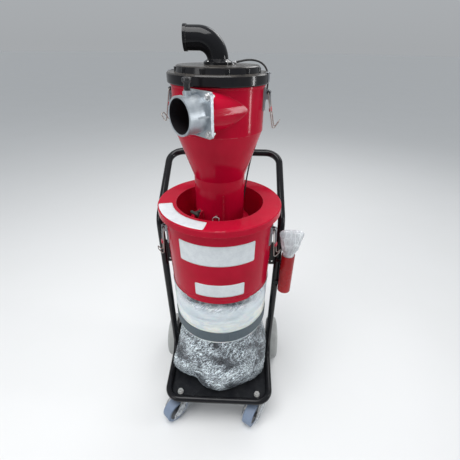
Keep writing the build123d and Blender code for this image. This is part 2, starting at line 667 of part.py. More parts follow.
def build():
    parts["frame_tube"] = make_frame()
    parts["tray_plate"] = make_tray()
    parts["rear_axle"] = make_axle()
    for name, side in (("left", -1), ("right", 1)):
        rim, tyre = make_wheel(side)
        parts["rear_wheel_%s_rim" % name] = rim
        parts["rear_wheel_%s_tyre" % name] = tyre
        mount, fork, core, tread = make_caster(side, CASTER_ANGLE[name])
        parts["caster_%s_mount" % name] = mount
        parts["caster_%s_fork" % name] = fork
        parts["caster_%s_core" % name] = core
        parts["caster_%s_tyre" % name] = tread
        parts["drum_bracket_%s" % name] = make_bracket(side)
    parts["drum_shell"] = make_drum()
    parts["recess_pan"] = make_pan()
    parts["cyclone_cone"] = make_cone()
    parts["cyclone_body"] = make_cyclone()
    parts["inlet_duct"] = make_duct()
    parts["inlet_spout"] = make_inlet()
    parts["inlet_knob"] = make_inlet_knob()
    parts["lid"] = make_lid()
    parts["vortex_tube"] = make_vortex_tube()
    parts["outlet_elbow"] = make_elbow()
    for name in LATCHES:
        latch, bail = make_latch(name)
        parts[name] = latch
        parts[name.replace("latch", "bail")] = bail
    parts["bag_store"] = make_bag_store()
    parts["bag_strap"] = make_strap()
    parts["wrapped_bundle"] = make_bundle()
    parts["tube_holder"] = make_holder()
    parts["holder_bracket"] = make_holder_bracket()
    parts["holder_bag"] = make_holder_bag()
    parts["neck_clamp"] = make_neck_clamp()
    parts["clamp_grip"] = make_clamp_grip()
    parts["ring_pin"] = make_ring_pin()
    parts["earth_lead"] = make_lead()


def settle():
    """Put the origin on the floor under the middle of the whole trolley."""
    boxes = [shape.bounding_box() for shape in parts.values()]
    dx = -(min(b.min.X for b in boxes) + max(b.max.X for b in boxes)) / 2
    dy = -(min(b.min.Y for b in boxes) + max(b.max.Y for b in boxes)) / 2
    dz = -min(b.min.Z for b in boxes)
    for name in parts:
        parts[name] = Pos(dx, dy, dz) * parts[name]
    return dx, dy, dz


if __name__ == "__main__":
    build()
    print("shift", [round(v, 3) for v in settle()])
    os.makedirs("parts", exist_ok=True)
    for name, shape in parts.items():
        solids = shape.solids()
        if len(solids) != 1:
            print("pieces in", name, [round(s.volume, 1) for s in solids])
        export_step(solids[0], "parts/%s.step" % name)
        box = shape.bounding_box()
        print(name, round(solids[0].volume), [round(v, 1) for v in (*box.min, *box.max)])
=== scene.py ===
from math import atan2, cos, hypot, pi, radians, sin, sqrt, tau

import bmesh
import bpy
from mathutils import Matrix, Vector, noise


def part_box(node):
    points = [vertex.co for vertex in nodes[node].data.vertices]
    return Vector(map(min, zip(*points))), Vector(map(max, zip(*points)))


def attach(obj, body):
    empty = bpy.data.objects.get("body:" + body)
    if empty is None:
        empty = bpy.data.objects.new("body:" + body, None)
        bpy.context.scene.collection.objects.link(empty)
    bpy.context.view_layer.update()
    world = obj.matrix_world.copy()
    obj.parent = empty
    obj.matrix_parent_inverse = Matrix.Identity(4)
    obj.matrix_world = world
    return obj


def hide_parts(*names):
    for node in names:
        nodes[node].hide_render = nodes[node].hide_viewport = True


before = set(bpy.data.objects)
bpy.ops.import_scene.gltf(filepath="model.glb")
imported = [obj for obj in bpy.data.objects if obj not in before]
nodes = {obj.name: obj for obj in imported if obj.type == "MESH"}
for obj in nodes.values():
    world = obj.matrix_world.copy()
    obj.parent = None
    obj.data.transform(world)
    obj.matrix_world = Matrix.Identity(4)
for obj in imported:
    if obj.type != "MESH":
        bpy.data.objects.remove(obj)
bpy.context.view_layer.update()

# The cyclone's axis is the middle of the drum. Lengths below are millimetres from it and the floor.
MM = 0.001
drum_low, drum_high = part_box("drum_shell")
AXIS = Vector(((drum_low.x + drum_high.x) / 2, (drum_low.y + drum_high.y) / 2, 0))

RIM_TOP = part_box("recess_pan")[1].z / MM
DRUM_TOP_R = 182.0
DRUM_BOT_R = 176.0
DRUM_BOT = 606.0
POST_X = 210.0
POST_Y = 6.0
TUBE_R = 12.7


def at(x, y, z):
    """A place in the row frame, from millimetres off the cyclone's axis."""
    return AXIS + Vector((x, y, z)) * MM


def around(angle, radius, z):
    a = radians(angle)
    return at(radius * cos(a), radius * sin(a), z)


def placed(origin, out, up=(0, 0, 1)):
    """A placement whose Z runs along out, whose Y leans towards up."""
    z = Vector(out).normalized()
    x = Vector(up).cross(z)
    if x.length < 1e-6:
        x = Vector((1, 0, 0))
    x.normalize()
    matrix = Matrix((x, z.cross(x), z)).transposed().to_4x4()
    matrix.translation = origin
    return matrix


UPRIGHT = placed(AXIS, (0, 0, 1))


def facing(angle):
    """The cyclone's axis, turned so that X points out at an angle."""
    return Matrix.Translation(AXIS) @ Matrix.Rotation(radians(angle), 4, "Z")


def moved(x, y, z):
    """A shift in millimetres."""
    return Matrix.Translation(Vector((x, y, z)) * MM)


def ripple(x, y, z):
    return noise.noise(Vector((x, y, z)))


def centre_of(node):
    low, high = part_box(node)
    return (low + high) / 2


def drum_radius(z):
    return DRUM_BOT_R + (DRUM_TOP_R - DRUM_BOT_R) * (z - DRUM_BOT) / (RIM_TOP - DRUM_BOT)


BODY_R = 124.0
INLET_Z = 1194.0
INLET_AZ = 225.0
DUCT_R = 45.0


def inlet_place(distance, side=0.0, rise=0.0):
    """A placement along the inlet's axis, pointing out of it."""
    a = radians(INLET_AZ)
    out = Vector((cos(a), sin(a), 0))
    across = Vector((-sin(a), cos(a), 0))
    origin = out * distance + across * (BODY_R - DUCT_R - 0.5 + side) + Vector((0, 0, INLET_Z + rise))
    return placed(AXIS + origin * MM, out)


def linked(name, data):
    """A new object in the scene, at the origin."""
    obj = bpy.data.objects.new(name, data)
    bpy.context.scene.collection.objects.link(obj)
    return obj


# Camera, standing in front and looking down on the trolley
CAMERA_PLACE = (68.3, -892.7, 1331.9)
CAMERA_YAW = -1.662
CAMERA_PITCH = 33.666
CAMERA_ROLL = 0.727
FRAME_PIXELS = 460
FOCAL_PIXELS = 299.904
CENTRE_PIXEL = (232.312, 242.913)


def set_camera():
    yaw, pitch, roll = radians(CAMERA_YAW), radians(CAMERA_PITCH), radians(CAMERA_ROLL)
    ahead = Vector((sin(yaw) * cos(pitch), cos(yaw) * cos(pitch), -sin(pitch)))
    level = Vector((cos(yaw), -sin(yaw), 0))
    above = level.cross(ahead)
    across = level * cos(roll) + above * sin(roll)
    upward = above * cos(roll) - level * sin(roll)
    data = bpy.data.cameras.new("viewpoint")
    data.sensor_width = 36
    data.lens = FOCAL_PIXELS / FRAME_PIXELS * data.sensor_width
    data.shift_x = (FRAME_PIXELS / 2 - CENTRE_PIXEL[0]) / FRAME_PIXELS
    data.shift_y = (CENTRE_PIXEL[1] - FRAME_PIXELS / 2) / FRAME_PIXELS
    data.clip_start, data.clip_end = 0.01, 200
    camera = linked("viewpoint", data)
    matrix = Matrix((across, upward, -ahead)).transposed().to_4x4()
    matrix.translation = at(*CAMERA_PLACE)
    camera.matrix_world = matrix
    bpy.context.scene.camera = camera


set_camera()

# Shader nodes


def fill(tree, socket, value):
    """Joins a socket to another, or sets it. A colour is given without its alpha."""
    if isinstance(value, bpy.types.NodeSocket):
        tree.links.new(value, socket)
    elif socket.type == "RGBA":
        socket.default_value = (*value, 1)
    else:
        socket.default_value = value


def add(tree, kind, inputs=None, **settings):
    """Adds a node, sets it, and joins or sets each of the named inputs."""
    node = tree.nodes.new("ShaderNode" + kind)
    for key, value in settings.items():
        setattr(node, key, value)
    for key, value in (inputs or {}).items():
        fill(tree, node.inputs[key], value)
    return node


def maths(tree, operation, a, b=0.0, clamp=False):
    return add(tree, "Math", {0: a, 1: b}, operation=operation, use_clamp=clamp).outputs[0]


def vector_maths(tree, operation, a, b=(0, 0, 0)):
    node = add(tree, "VectorMath", {0: a, 1: b}, operation=operation)
    return node.outputs["Value" if operation in ("DOT_PRODUCT", "LENGTH") else 0]


def component(tree, vector, which):
    return add(tree, "SeparateXYZ", {0: vector}).outputs[which]


def times(tree, a, b, clamp=False):
    return maths(tree, "MULTIPLY", a, b, clamp)


def remap(tree, value, low, high, to_low=0.0, to_high=1.0):
    return add(tree, "MapRange", {
        "Value": value, "From Min": low, "From Max": high, "To Min": to_low, "To Max": to_high,
    }).outputs[0]


def blend_colour(tree, share, a, b):
    return add(tree, "Mix", {0: share, 6: a, 7: b}, data_type="RGBA").outputs[2]


def grain(tree, vector, scale, detail=3.0, rough=0.55):
    return add(tree, "TexNoise", {
        "Vector": vector, "Scale": scale, "Detail": detail, "Roughness": rough}).outputs["Fac"]


def spots(tree):
    """Where each spot of the piece lies, with the pattern at rest on the piece."""
    return add(tree, "TexCoord").outputs["Object"]


def stretched(tree, vector, scale):
    return add(tree, "Mapping", {"Vector": vector, "Scale": scale}).outputs[0]


SOCKETS = {"f": "NodeSocketFloat", "c": "NodeSocketColor", "v": "NodeSocketVector"}


def effect(name, inputs, outputs):
    """An empty node group with its sockets, given as (name, kind) pairs, and the call that fills its outputs."""
    tree = bpy.data.node_groups.new(name, "ShaderNodeTree")
    for way, sockets in (("INPUT", inputs), ("OUTPUT", outputs)):
        for label, kind in sockets:
            tree.interface.new_socket(name=label, in_out=way, socket_type=SOCKETS[kind])
    out = tree.nodes.new("NodeGroupOutput").inputs

    def filled(**values):
        for label, value in values.items():
            tree.links.new(value, out[label])
        return tree

    return tree, tree.nodes.new("NodeGroupInput").outputs, filled


def make_dust():
    tree, given, filled = effect(
        "settled dust", [("Colour", "c"), ("Dust", "c"), ("Amount", "f"), ("Patches", "f")],
        [("Colour", "c"), ("Cover", "f")])
    where = add(tree, "TexCoord")
    up = component(tree, where.outputs["Normal"], 2)
    level = remap(tree, up, 0.35, 0.97)
    patches = remap(tree, grain(tree, where.outputs["Object"], given["Patches"], 6, 0.65), 0.28, 0.66)
    specks = remap(tree, grain(tree, where.outputs["Object"], 700, 2, 0.6), 0.38, 0.62, 0.45, 1.0)
    cover = times(tree, times(tree, level, patches), specks)
    cover = times(tree, cover, given["Amount"], clamp=True)
    return filled(Colour=blend_colour(tree, cover, given["Colour"], given["Dust"]), Cover=cover)


def make_sprayed():
    tree, given, filled = effect(
        "sprayed paint", [("Colour", "c"), ("Deep", "c"), ("Peel", "f")],
        [("Colour", "c"), ("Height", "f"), ("Rough", "f")])
    where = spots(tree)
    peel = grain(tree, where, given["Peel"], 1.5, 0.4)
    wave = grain(tree, where, 22, 2, 0.5)
    tone = remap(tree, grain(tree, where, 5, 4, 0.6), 0.35, 0.7)
    smear = remap(tree, grain(tree, stretched(tree, where, (1, 1, 0.3)), 34, 5, 0.7), 0.45, 0.75, 0.16, 0.3)
    height = maths(tree, "ADD", times(tree, peel, 0.35), wave)
    return filled(Colour=blend_colour(tree, tone, given["Colour"], given["Deep"]), Height=height, Rough=smear)


def make_worn_edges():
    tree, given, filled = effect(
        "worn edges", [("Colour", "c"), ("Bare", "c"), ("Amount", "f")], [("Colour", "c"), ("Worn", "f")])
    where = spots(tree)
    rounded = add(tree, "Bevel", {"Radius": 0.0016}, samples=4).outputs[0]
    true = add(tree, "NewGeometry").outputs["Normal"]
    turn = vector_maths(tree, "DOT_PRODUCT", rounded, true)
    edge = remap(tree, turn, 0.985, 0.88)
    broken = remap(tree, grain(tree, where, 140, 5, 0.7), 0.4, 0.62)
    worn = times(tree, times(tree, edge, broken), given["Amount"], clamp=True)
    return filled(Colour=blend_colour(tree, worn, given["Colour"], given["Bare"]), Worn=worn)


def make_cast():
    tree, given, filled = effect(
        "cast skin", [("Colour", "c"), ("Shade", "c"), ("Grain", "f")],
        [("Colour", "c"), ("Height", "f"), ("Rough", "f")])
    where = spots(tree)
    fine = grain(tree, where, given["Grain"], 3, 0.7)
    broad = remap(tree, grain(tree, where, 38, 4, 0.6), 0.36, 0.68)
    pits = remap(tree, add(tree, "TexVoronoi", {"Vector": where, "Scale": 420.0}).outputs["Distance"], 0.0, 0.22)
    height = maths(tree, "ADD", times(tree, fine, 0.6), times(tree, pits, 0.4))
    return filled(
        Colour=blend_colour(tree, broad, given["Colour"], given["Shade"]),
        Height=height,
        Rough=remap(tree, fine, 0.3, 0.7, 0.3, 0.52))


def make_creases():
    """Sharp creases of thin film, as thin light lines and as height."""
    tree, given, filled = effect(
        "film creases", [("Scale", "f"), ("Stretch", "v")], [("Height", "f"), ("Lines", "f"), ("Cloud", "f")])
    where = vector_maths(tree, "MULTIPLY", spots(tree), given["Stretch"])
    bent = add(tree, "TexNoise", {"Vector": where, "Scale": 14.0, "Detail": 2.0}).outputs["Color"]
    pushed = vector_maths(tree, "MULTIPLY", bent, (0.03, 0.03, 0.03))
    where = vector_maths(tree, "ADD", where, pushed)
    cells = add(tree, "TexVoronoi", {"Vector": where, "Scale": given["Scale"]}, feature="DISTANCE_TO_EDGE")
    fine_scale = times(tree, given["Scale"], 2.7)
    fine = add(tree, "TexVoronoi", {"Vector": where, "Scale": fine_scale}, feature="DISTANCE_TO_EDGE")
    cloud = grain(tree, where, times(tree, given["Scale"], 0.35), 5, 0.6)
    big = remap(tree, cells.outputs["Distance"], 0.09, 0.0)
    small = remap(tree, fine.outputs["Distance"], 0.07, 0.0)
    lines = maths(tree, "MAXIMUM", big, times(tree, small, 0.7))
    lines = times(tree, lines, remap(tree, cloud, 0.35, 0.6, 0.25, 1.0))
    height = maths(tree, "ADD", cells.outputs["Distance"], times(tree, fine.outputs["Distance"], 0.45))
    return filled(Height=height, Lines=lines, Cloud=cloud)


def make_glint_streaks():
    """Painted glints on taut film over lumps: short bright streaks in two slanting directions, and hazy patches."""
    tree, given, filled = effect(
        "film streaks", [("Scale", "f"), ("Haze", "f")], [("Height", "f"), ("Streaks", "f"), ("Haze", "f")])
    where = spots(tree)
    drift = add(tree, "TexNoise", {"Vector": where, "Scale": 9.0, "Detail": 1.0}).outputs["Color"]
    pushed = vector_maths(tree, "MULTIPLY", drift, (0.05, 0.05, 0.05))
    where = vector_maths(tree, "ADD", where, pushed)
    layers = []
    for slant, wide, low, high in ((36, 1.0, 0.53, 0.60), (50, 1.7, 0.54, 0.61), (-50, 1.3, 0.60, 0.67)):
        turned_to = add(tree, "Mapping", {"Vector": where, "Rotation": (0, radians(slant), 0)}).outputs[0]
        fleck = grain(tree, stretched(tree, turned_to, (0.09, 1, 1)), times(tree, given["Scale"], wide), 2, 0.5)
        layers.append((fleck, remap(tree, fleck, low, high)))
    streaks = maths(tree, "MAXIMUM", layers[0][1], maths(tree, "MAXIMUM", layers[1][1], layers[2][1]))
    patches = grain(tree, where, given["Haze"], 5, 0.65)
    streaks = times(tree, streaks, remap(tree, patches, 0.36, 0.56, 0.25, 1.0))
    return filled(
        Height=maths(tree, "ADD", layers[0][0], times(tree, layers[1][0], 0.5)),
        Streaks=streaks,
        Haze=remap(tree, patches, 0.40, 0.66))


def make_webbing():
    """Woven webbing on a band round the cyclone's axis: ribs up the band, picks along it."""
    tree, given, filled = effect(
        "webbing", [("Colour", "c"), ("Shade", "c"), ("Radius", "f"), ("Pitch", "f")],
        [("Colour", "c"), ("Height", "f")])
    spot = add(tree, "SeparateXYZ", {0: spots(tree)})
    x = maths(tree, "SUBTRACT", spot.outputs[0], AXIS.x)
    y = maths(tree, "SUBTRACT", spot.outputs[1], AXIS.y)
    along = times(tree, maths(tree, "ARCTAN2", y, x), given["Radius"])
    u = times(tree, maths(tree, "DIVIDE", along, given["Pitch"]), pi)
    v = times(tree, maths(tree, "DIVIDE", spot.outputs[2], given["Pitch"]), pi)
    rows = maths(tree, "ABSOLUTE", maths(tree, "SINE", v))
    shifted = maths(tree, "ADD", u, times(tree, maths(tree, "FLOOR", maths(tree, "DIVIDE", v, pi)), pi / 2))
    picks = maths(tree, "ABSOLUTE", maths(tree, "SINE", shifted))
    weave = times(tree, maths(tree, "SQRT", rows), maths(tree, "SQRT", picks))
    fuzz = grain(tree, spots(tree), 60, 5, 0.7)
    tone = times(tree, weave, remap(tree, fuzz, 0.3, 0.7, 0.6, 1.0))
    return filled(Colour=blend_colour(tree, tone, given["Shade"], given["Colour"]), Height=weave)


DUST = make_dust()
SPRAYED = make_sprayed()
WORN = make_worn_edges()
CAST = make_cast()
CREASES = make_creases()
GLINT_STREAKS = make_glint_streaks()
WEBBING = make_webbing()


class Finish:
    """A material, its shader, and the few joins that most finishes share."""

    def __init__(self, name, **constants):
        self.material = bpy.data.materials.new(name)
        self.material.use_nodes = True
        self.tree = self.material.node_tree
        self.shader = self.tree.nodes["Principled BSDF"]
        for key, value in constants.items():
            self.shader.inputs[key.replace("_", " ")].default_value = value

    def use(self, group, **inputs):
        node = self.tree.nodes.new("ShaderNodeGroup")
        node.node_tree = group
        for key, value in inputs.items():
            fill(self.tree, node.inputs[key], value)
        return node.outputs

    def done(self, colour, bump=None, **others):
        """Joins the colour, a bump (height, strength, distance) and any other inputs, and gives the material."""
        if bump:
            node = add(self.tree, "Bump", {"Height": bump[0], "Strength": bump[1], "Distance": bump[2] * MM})
            others["Normal"] = node.outputs[0]
        for socket, value in {"Base Color": colour, **others}.items():
            self.tree.links.new(value, self.shader.inputs[socket])
        return self.material


BARE_STEEL = (0.35, 0.33, 0.32)
METAL_DUST = (0.24, 0.22, 0.19)
BROWN_DUST = (0.21, 0.185, 0.155)


def paint(name, colour, deep, dust, amount, coat, shine, worn=0.35):
    skin = Finish(name, Coat_Weight=coat, Coat_Roughness=0.05, Specular_IOR_Level=shine)
    coatings = skin.use(SPRAYED, Colour=colour, Deep=deep, Peel=260.0)
    edges = skin.use(WORN, Colour=coatings["Colour"], Bare=BARE_STEEL, Amount=worn)
    dusty = skin.use(DUST, Colour=edges["Colour"], Dust=dust, Amount=amount, Patches=26.0)
    rough = maths(skin.tree, "ADD", coatings["Rough"], times(skin.tree, dusty["Cover"], 0.5), clamp=True)
    return skin.done(dusty["Colour"], (coatings["Height"], 0.12, 0.35), Roughness=rough)


def metal(name, colour, shade, grain_scale, strength):
    skin = Finish(name, Metallic=1.0)
    cast = skin.use(CAST, Colour=colour, Shade=shade, Grain=grain_scale)
    dusty = skin.use(DUST, Colour=cast["Colour"], Dust=METAL_DUST, Amount=0.15, Patches=60.0)
    return skin.done(dusty["Colour"], (cast["Height"], strength, 0.25), Roughness=cast["Rough"])


def spout_metal(name, colour, shade, bore, inside, axis_at, axis):
    """Cast metal with painted shade: near-black and not metallic inside a bore round an axis."""
    skin = Finish(name)
    tree = skin.tree
    cast = skin.use(CAST, Colour=colour, Shade=shade, Grain=760.0)
    dusty = skin.use(DUST, Colour=cast["Colour"], Dust=METAL_DUST, Amount=0.3, Patches=60.0)
    off = vector_maths(tree, "SUBTRACT", spots(skin.tree), tuple(axis_at))
    away = vector_maths(tree, "CROSS_PRODUCT", off, tuple(axis))
    reach = vector_maths(tree, "LENGTH", away)
    # Painted shade: inside the bore the colour turns near-black and the metal sheen goes.
    shell = remap(tree, reach, bore * MM, (bore + 0.6) * MM)
    return skin.done(blend_colour(tree, shell, inside, dusty["Colour"]), (cast["Height"], 0.35, 0.25),
                     Metallic=times(tree, shell, 0.75), Roughness=cast["Rough"])


def plastic(name, colour, shade, dust_amount, rough, strength=0.1, scale=500.0, coat=0.0, shine=0.5):
    skin = Finish(name, Coat_Weight=coat, Coat_Roughness=0.08, Specular_IOR_Level=shine)
    tree = skin.tree
    where = spots(tree)
    cloud = grain(tree, where, 18, 5, 0.65)
    fine = grain(tree, where, scale, 3, 0.6)
    base = blend_colour(tree, remap(tree, cloud, 0.35, 0.68), colour, shade)
    dusty = skin.use(DUST, Colour=base, Dust=BROWN_DUST, Amount=dust_amount, Patches=34.0)
    gloss = remap(tree, cloud, 0.3, 0.7, rough[0], rough[1])
    rough = maths(tree, "ADD", gloss, times(tree, dusty["Cover"], 0.5), clamp=True)
    return skin.done(dusty["Colour"], (fine, strength, 0.3), Roughness=rough)


RED = paint("crimson gloss paint", (0.49, 0.003, 0.028), (0.36, 0.002, 0.019), (0.40, 0.20, 0.19), 0.04,
            coat=0.14, shine=0.05)
BLACK = paint("black gloss paint", (0.005, 0.005, 0.006), (0.008, 0.008, 0.010), (0.10, 0.10, 0.10), 0.08,
              coat=0.3, shine=0.08)
TRAY = paint("black tray paint", (0.007, 0.008, 0.010), (0.012, 0.013, 0.016), (0.10, 0.10, 0.10), 0.18,
             coat=0.12, worn=0.4, shine=0.1)
LID = plastic("black lid moulding", (0.008, 0.008, 0.010), (0.013, 0.012, 0.013), 0.5, (0.14, 0.26), coat=0.25,
              shine=0.12)
BLACK_PLASTIC = plastic("black plastic", (0.012, 0.012, 0.014), (0.02, 0.02, 0.021), 0.25, (0.2, 0.4))
RUBBER = plastic("black rubber", (0.014, 0.014, 0.015), (0.028, 0.027, 0.026), 0.3, (0.5, 0.75), 0.35, 320.0)
SHEATH = plastic("lead sheath", (0.008, 0.008, 0.009), (0.016, 0.015, 0.015), 0.2, (0.32, 0.5), 0.2, 240.0)
ZINC = metal("zinc plate", (0.60, 0.60, 0.58), (0.47, 0.47, 0.46), 520.0, 0.12)
STEEL = metal("bright steel", (0.68, 0.68, 0.68), (0.55, 0.55, 0.56), 900.0, 0.06)
LATCH_PLATE = metal("latch plate", (0.34, 0.35, 0.37), (0.24, 0.25, 0.27), 520.0, 0.12)
BAIL_WIRE = metal("bail wire", (0.42, 0.39, 0.36), (0.30, 0.28, 0.26), 900.0, 0.06)
# Its bore is painted near-black as shade.
ALUMINIUM = spout_metal(
    "cast aluminium", (0.50, 0.54, 0.57), (0.35, 0.39, 0.43), 38.1, (0.012, 0.011, 0.013),
    inlet_place(0).translation, inlet_place(0).col[2].xyz)
HOLDER = plastic("red plastic tube", (0.38, 0.012, 0.016), (0.28, 0.009, 0.012), 0.1, (0.2, 0.34), coat=0.12,
                 shine=0.2)
RED_TIP = plastic("red plastic tip", (0.55, 0.010, 0.045), (0.45, 0.008, 0.03), 0.1, (0.25, 0.4))


def make_tyre_rubber(name, tread, side, centre, outward, tread_from, inner_edge):
    """Rubber with light tread and dark sides: the tread starts at a radius about the axle, and stops short of
    the inner edge by the distance along the axle that outward points to the outside of."""
    skin = Finish(name)
    tree = skin.tree
    where = spots(skin.tree)
    reach = vector_maths(tree, "SUBTRACT", where, centre)
    flat = vector_maths(tree, "MULTIPLY", reach, (0, 1, 1))
    radius = vector_maths(tree, "LENGTH", flat)
    along = vector_maths(tree, "DOT_PRODUCT", reach, (outward, 0, 0))
    band = remap(tree, radius, (tread_from - 0.8) * MM, (tread_from + 0.8) * MM)
    inside = remap(tree, along, (inner_edge - 0.8) * MM, (inner_edge + 0.8) * MM)
    cloud = grain(tree, where, 30, 6, 0.7)
    scuffed = blend_colour(tree, remap(tree, cloud, 0.35, 0.7), tread, [c * 0.78 for c in tread])
    base = blend_colour(tree, times(tree, band, inside), side, scuffed)
    dusty = skin.use(DUST, Colour=base, Dust=(0.25, 0.23, 0.2), Amount=0.25, Patches=40.0)
    return skin.done(dusty["Colour"], (grain(tree, where, 380, 4, 0.7), 0.3, 0.3),
                     Roughness=remap(tree, cloud, 0.3, 0.7, 0.5, 0.75))


def make_wrap(name, thin, bright, alpha, scale, haze):
    """Stretch film: see-through, hazy in patches, with painted glints as short bright streaks."""
    skin = Finish(name, Roughness=0.1, IOR=1.5, Specular_IOR_Level=0.8)
    film = skin.use(GLINT_STREAKS, Scale=scale, Haze=haze)
    tree = skin.tree
    cover = maths(tree, "ADD", film["Streaks"], times(tree, film["Haze"], 0.42), clamp=True)
    # Painted glints: the streaks take the bright colour and more cover.
    return skin.done(blend_colour(tree, film["Streaks"], thin, bright), (film["Height"], 0.8, 3.0),
                     Alpha=remap(tree, cover, 0.0, 1.0, alpha[0], alpha[1]))


def make_film(name, thin, thick, alpha, scale, stretch):
    """Clear film: nearly see-through between creases, whitish along them."""
    skin = Finish(name, Roughness=0.16, IOR=1.5, Specular_IOR_Level=0.8)
    creases = skin.use(CREASES, Scale=scale, Stretch=stretch)
    tree = skin.tree
    milky = maths(tree, "ADD", creases["Lines"], remap(tree, creases["Cloud"], 0.42, 0.72, 0.0, 0.45), clamp=True)
    return skin.done(blend_colour(tree, creases["Lines"], thin, thick), (creases["Height"], 0.9, 3.0),
                     Alpha=remap(tree, milky, 0.0, 1.0, alpha[0], alpha[1]))


def make_milky(name, light, shade, warm):
    """Milky sleeve film packed in folds, warmer where it lies thick, with painted glints below its head and a painted
    shadow under the drum's hem at the front.
    """
    skin = Finish(name, Roughness=0.3, Subsurface_Weight=0.25, Subsurface_Scale=0.004, Coat_Weight=0.35,
                  Coat_Roughness=0.12)
    tree = skin.tree
    where = spots(skin.tree)
    level = component(tree, where, 2)
    creases = skin.use(CREASES, Scale=42.0, Stretch=(1, 1, 2.4))
    upper = skin.use(CREASES, Scale=70.0, Stretch=(1.6, 1.6, 0.5))
    # Painted shadow: a near-black band at the front, just under the drum's hem, where the drum shades the sleeve.
    ahead = maths(tree, "SUBTRACT", AXIS.y, component(tree, where, 1))
    top = times(tree, remap(tree, level, 0.580, 0.592), remap(tree, ahead, 0.110, 0.150))
    cloud = remap(tree, grain(tree, stretched(tree, where, (1, 1, 2)), 9, 5, 0.6), 0.35, 0.66)
    base = blend_colour(tree, cloud, light, shade)
    thick = times(tree, remap(tree, level, 0.522, 0.502), remap(tree, cloud, 0.8, 0.1))
    base = blend_colour(tree, times(tree, thick, 0.75), base, warm)
    # Painted glints: bright streaks over a darker grey on a band below the sleeve's head.
    film = skin.use(GLINT_STREAKS, Scale=240.0, Haze=24.0)
    glint_streaked = blend_colour(tree, film["Streaks"], (0.22, 0.26, 0.31), (0.86, 0.91, 0.94))
    glint_band = times(tree, remap(tree, level, 0.552, 0.580), remap(tree, film["Haze"], 0.0, 0.6, 0.35, 0.9))
    base = blend_colour(tree, glint_band, base, glint_streaked)
    # The painted shadow under the hem, broken up by the upper creases' cloud.
    dark = times(tree, top, remap(tree, upper["Cloud"], 0.30, 0.52, 0.35, 1.0))
    base = blend_colour(tree, dark, base, (0.055, 0.065, 0.085))
    base = blend_colour(tree, times(tree, creases["Lines"], 0.35), base, (0.9, 0.95, 0.97))
    return skin.done(base, (creases["Height"], 0.4, 1.6))


def make_contents(name):
    skin = Finish(name, Roughness=0.55)
    tree = skin.tree
    cloud = remap(tree, grain(tree, spots(tree), 26, 6, 0.7), 0.42, 0.64)
    return skin.done(blend_colour(tree, cloud, (0.008, 0.008, 0.011), (0.06, 0.058, 0.062)),
                     (grain(tree, spots(tree), 90, 5, 0.7), 0.6, 3.0))


def make_label(name):
    skin = Finish(name, Coat_Weight=0.35, Coat_Roughness=0.15)
    tree = skin.tree
    where = spots(tree)
    cloud = grain(tree, where, 40, 6, 0.7)
    rub = remap(tree, grain(tree, stretched(tree, where, (1, 1, 3)), 120, 5, 0.75), 0.5, 0.75)
    base = blend_colour(tree, remap(tree, cloud, 0.35, 0.7), (0.72, 0.76, 0.78), (0.60, 0.64, 0.67))
    return skin.done(blend_colour(tree, times(tree, rub, 0.25), base, (0.4, 0.42, 0.44)),
                     (grain(tree, where, 70, 3, 0.5), 0.15, 0.8), Roughness=remap(tree, cloud, 0.3, 0.7, 0.25, 0.45))


def make_band(name):
    skin = Finish(name, Roughness=0.6)
    woven = skin.use(WEBBING, Colour=(0.112, 0.148, 0.174), Shade=(0.056, 0.076, 0.09), Radius=0.179, Pitch=0.0016)
    return skin.done(woven["Colour"], (woven["Height"], 0.5, 0.5))


def make_mottled(name, rough, scale, detail, first, second):
    """A plain finish whose colour drifts between two."""
    skin = Finish(name, Roughness=rough)
    cloud = grain(skin.tree, spots(skin.tree), scale, detail, 0.6)
    return skin.done(blend_colour(skin.tree, cloud, first, second))


SLEEVE = make_milky("milky sleeve film", (0.82, 0.88, 0.90), (0.54, 0.62, 0.67), (0.82, 0.82, 0.70))
# The films' bright colours are painted glints along the streaks.
WRAP = make_wrap("clear stretch film", (0.34, 0.40, 0.47), (0.88, 0.97, 1.0), (0.02, 1.0), 340.0, 15.0)
FORK_WRAP = make_wrap("clear fork film", (0.45, 0.50, 0.56), (0.90, 0.93, 0.96), (0.06, 0.75), 330.0, 40.0)
BAG_FILM = make_film("folded bag film", (0.60, 0.63, 0.66), (0.86, 0.89, 0.9), (0.75, 1.0), 60.0, (1, 1, 0.4))
CONTENTS = make_contents("dark wrapped goods")
LABEL = make_label("bare white sticker")
STRAP = make_band("grey webbing")
STITCH = make_mottled("strap thread", 0.6, 300, 3, (0.24, 0.28, 0.31), (0.12, 0.15, 0.17))
FLOOR = make_mottled("pale floor", 0.75, 1.6, 4, (0.80, 0.80, 0.79), (0.83, 0.83, 0.83))

CASTER_TYRE = plastic(
    "caster tread rubber", (0.21, 0.27, 0.38), (0.165, 0.215, 0.305), 0.2, (0.4, 0.6), 0.3, 300.0)
CASTER_CORE = plastic("caster core plastic", (0.05, 0.055, 0.065), (0.035, 0.04, 0.05), 0.2, (0.3, 0.5))

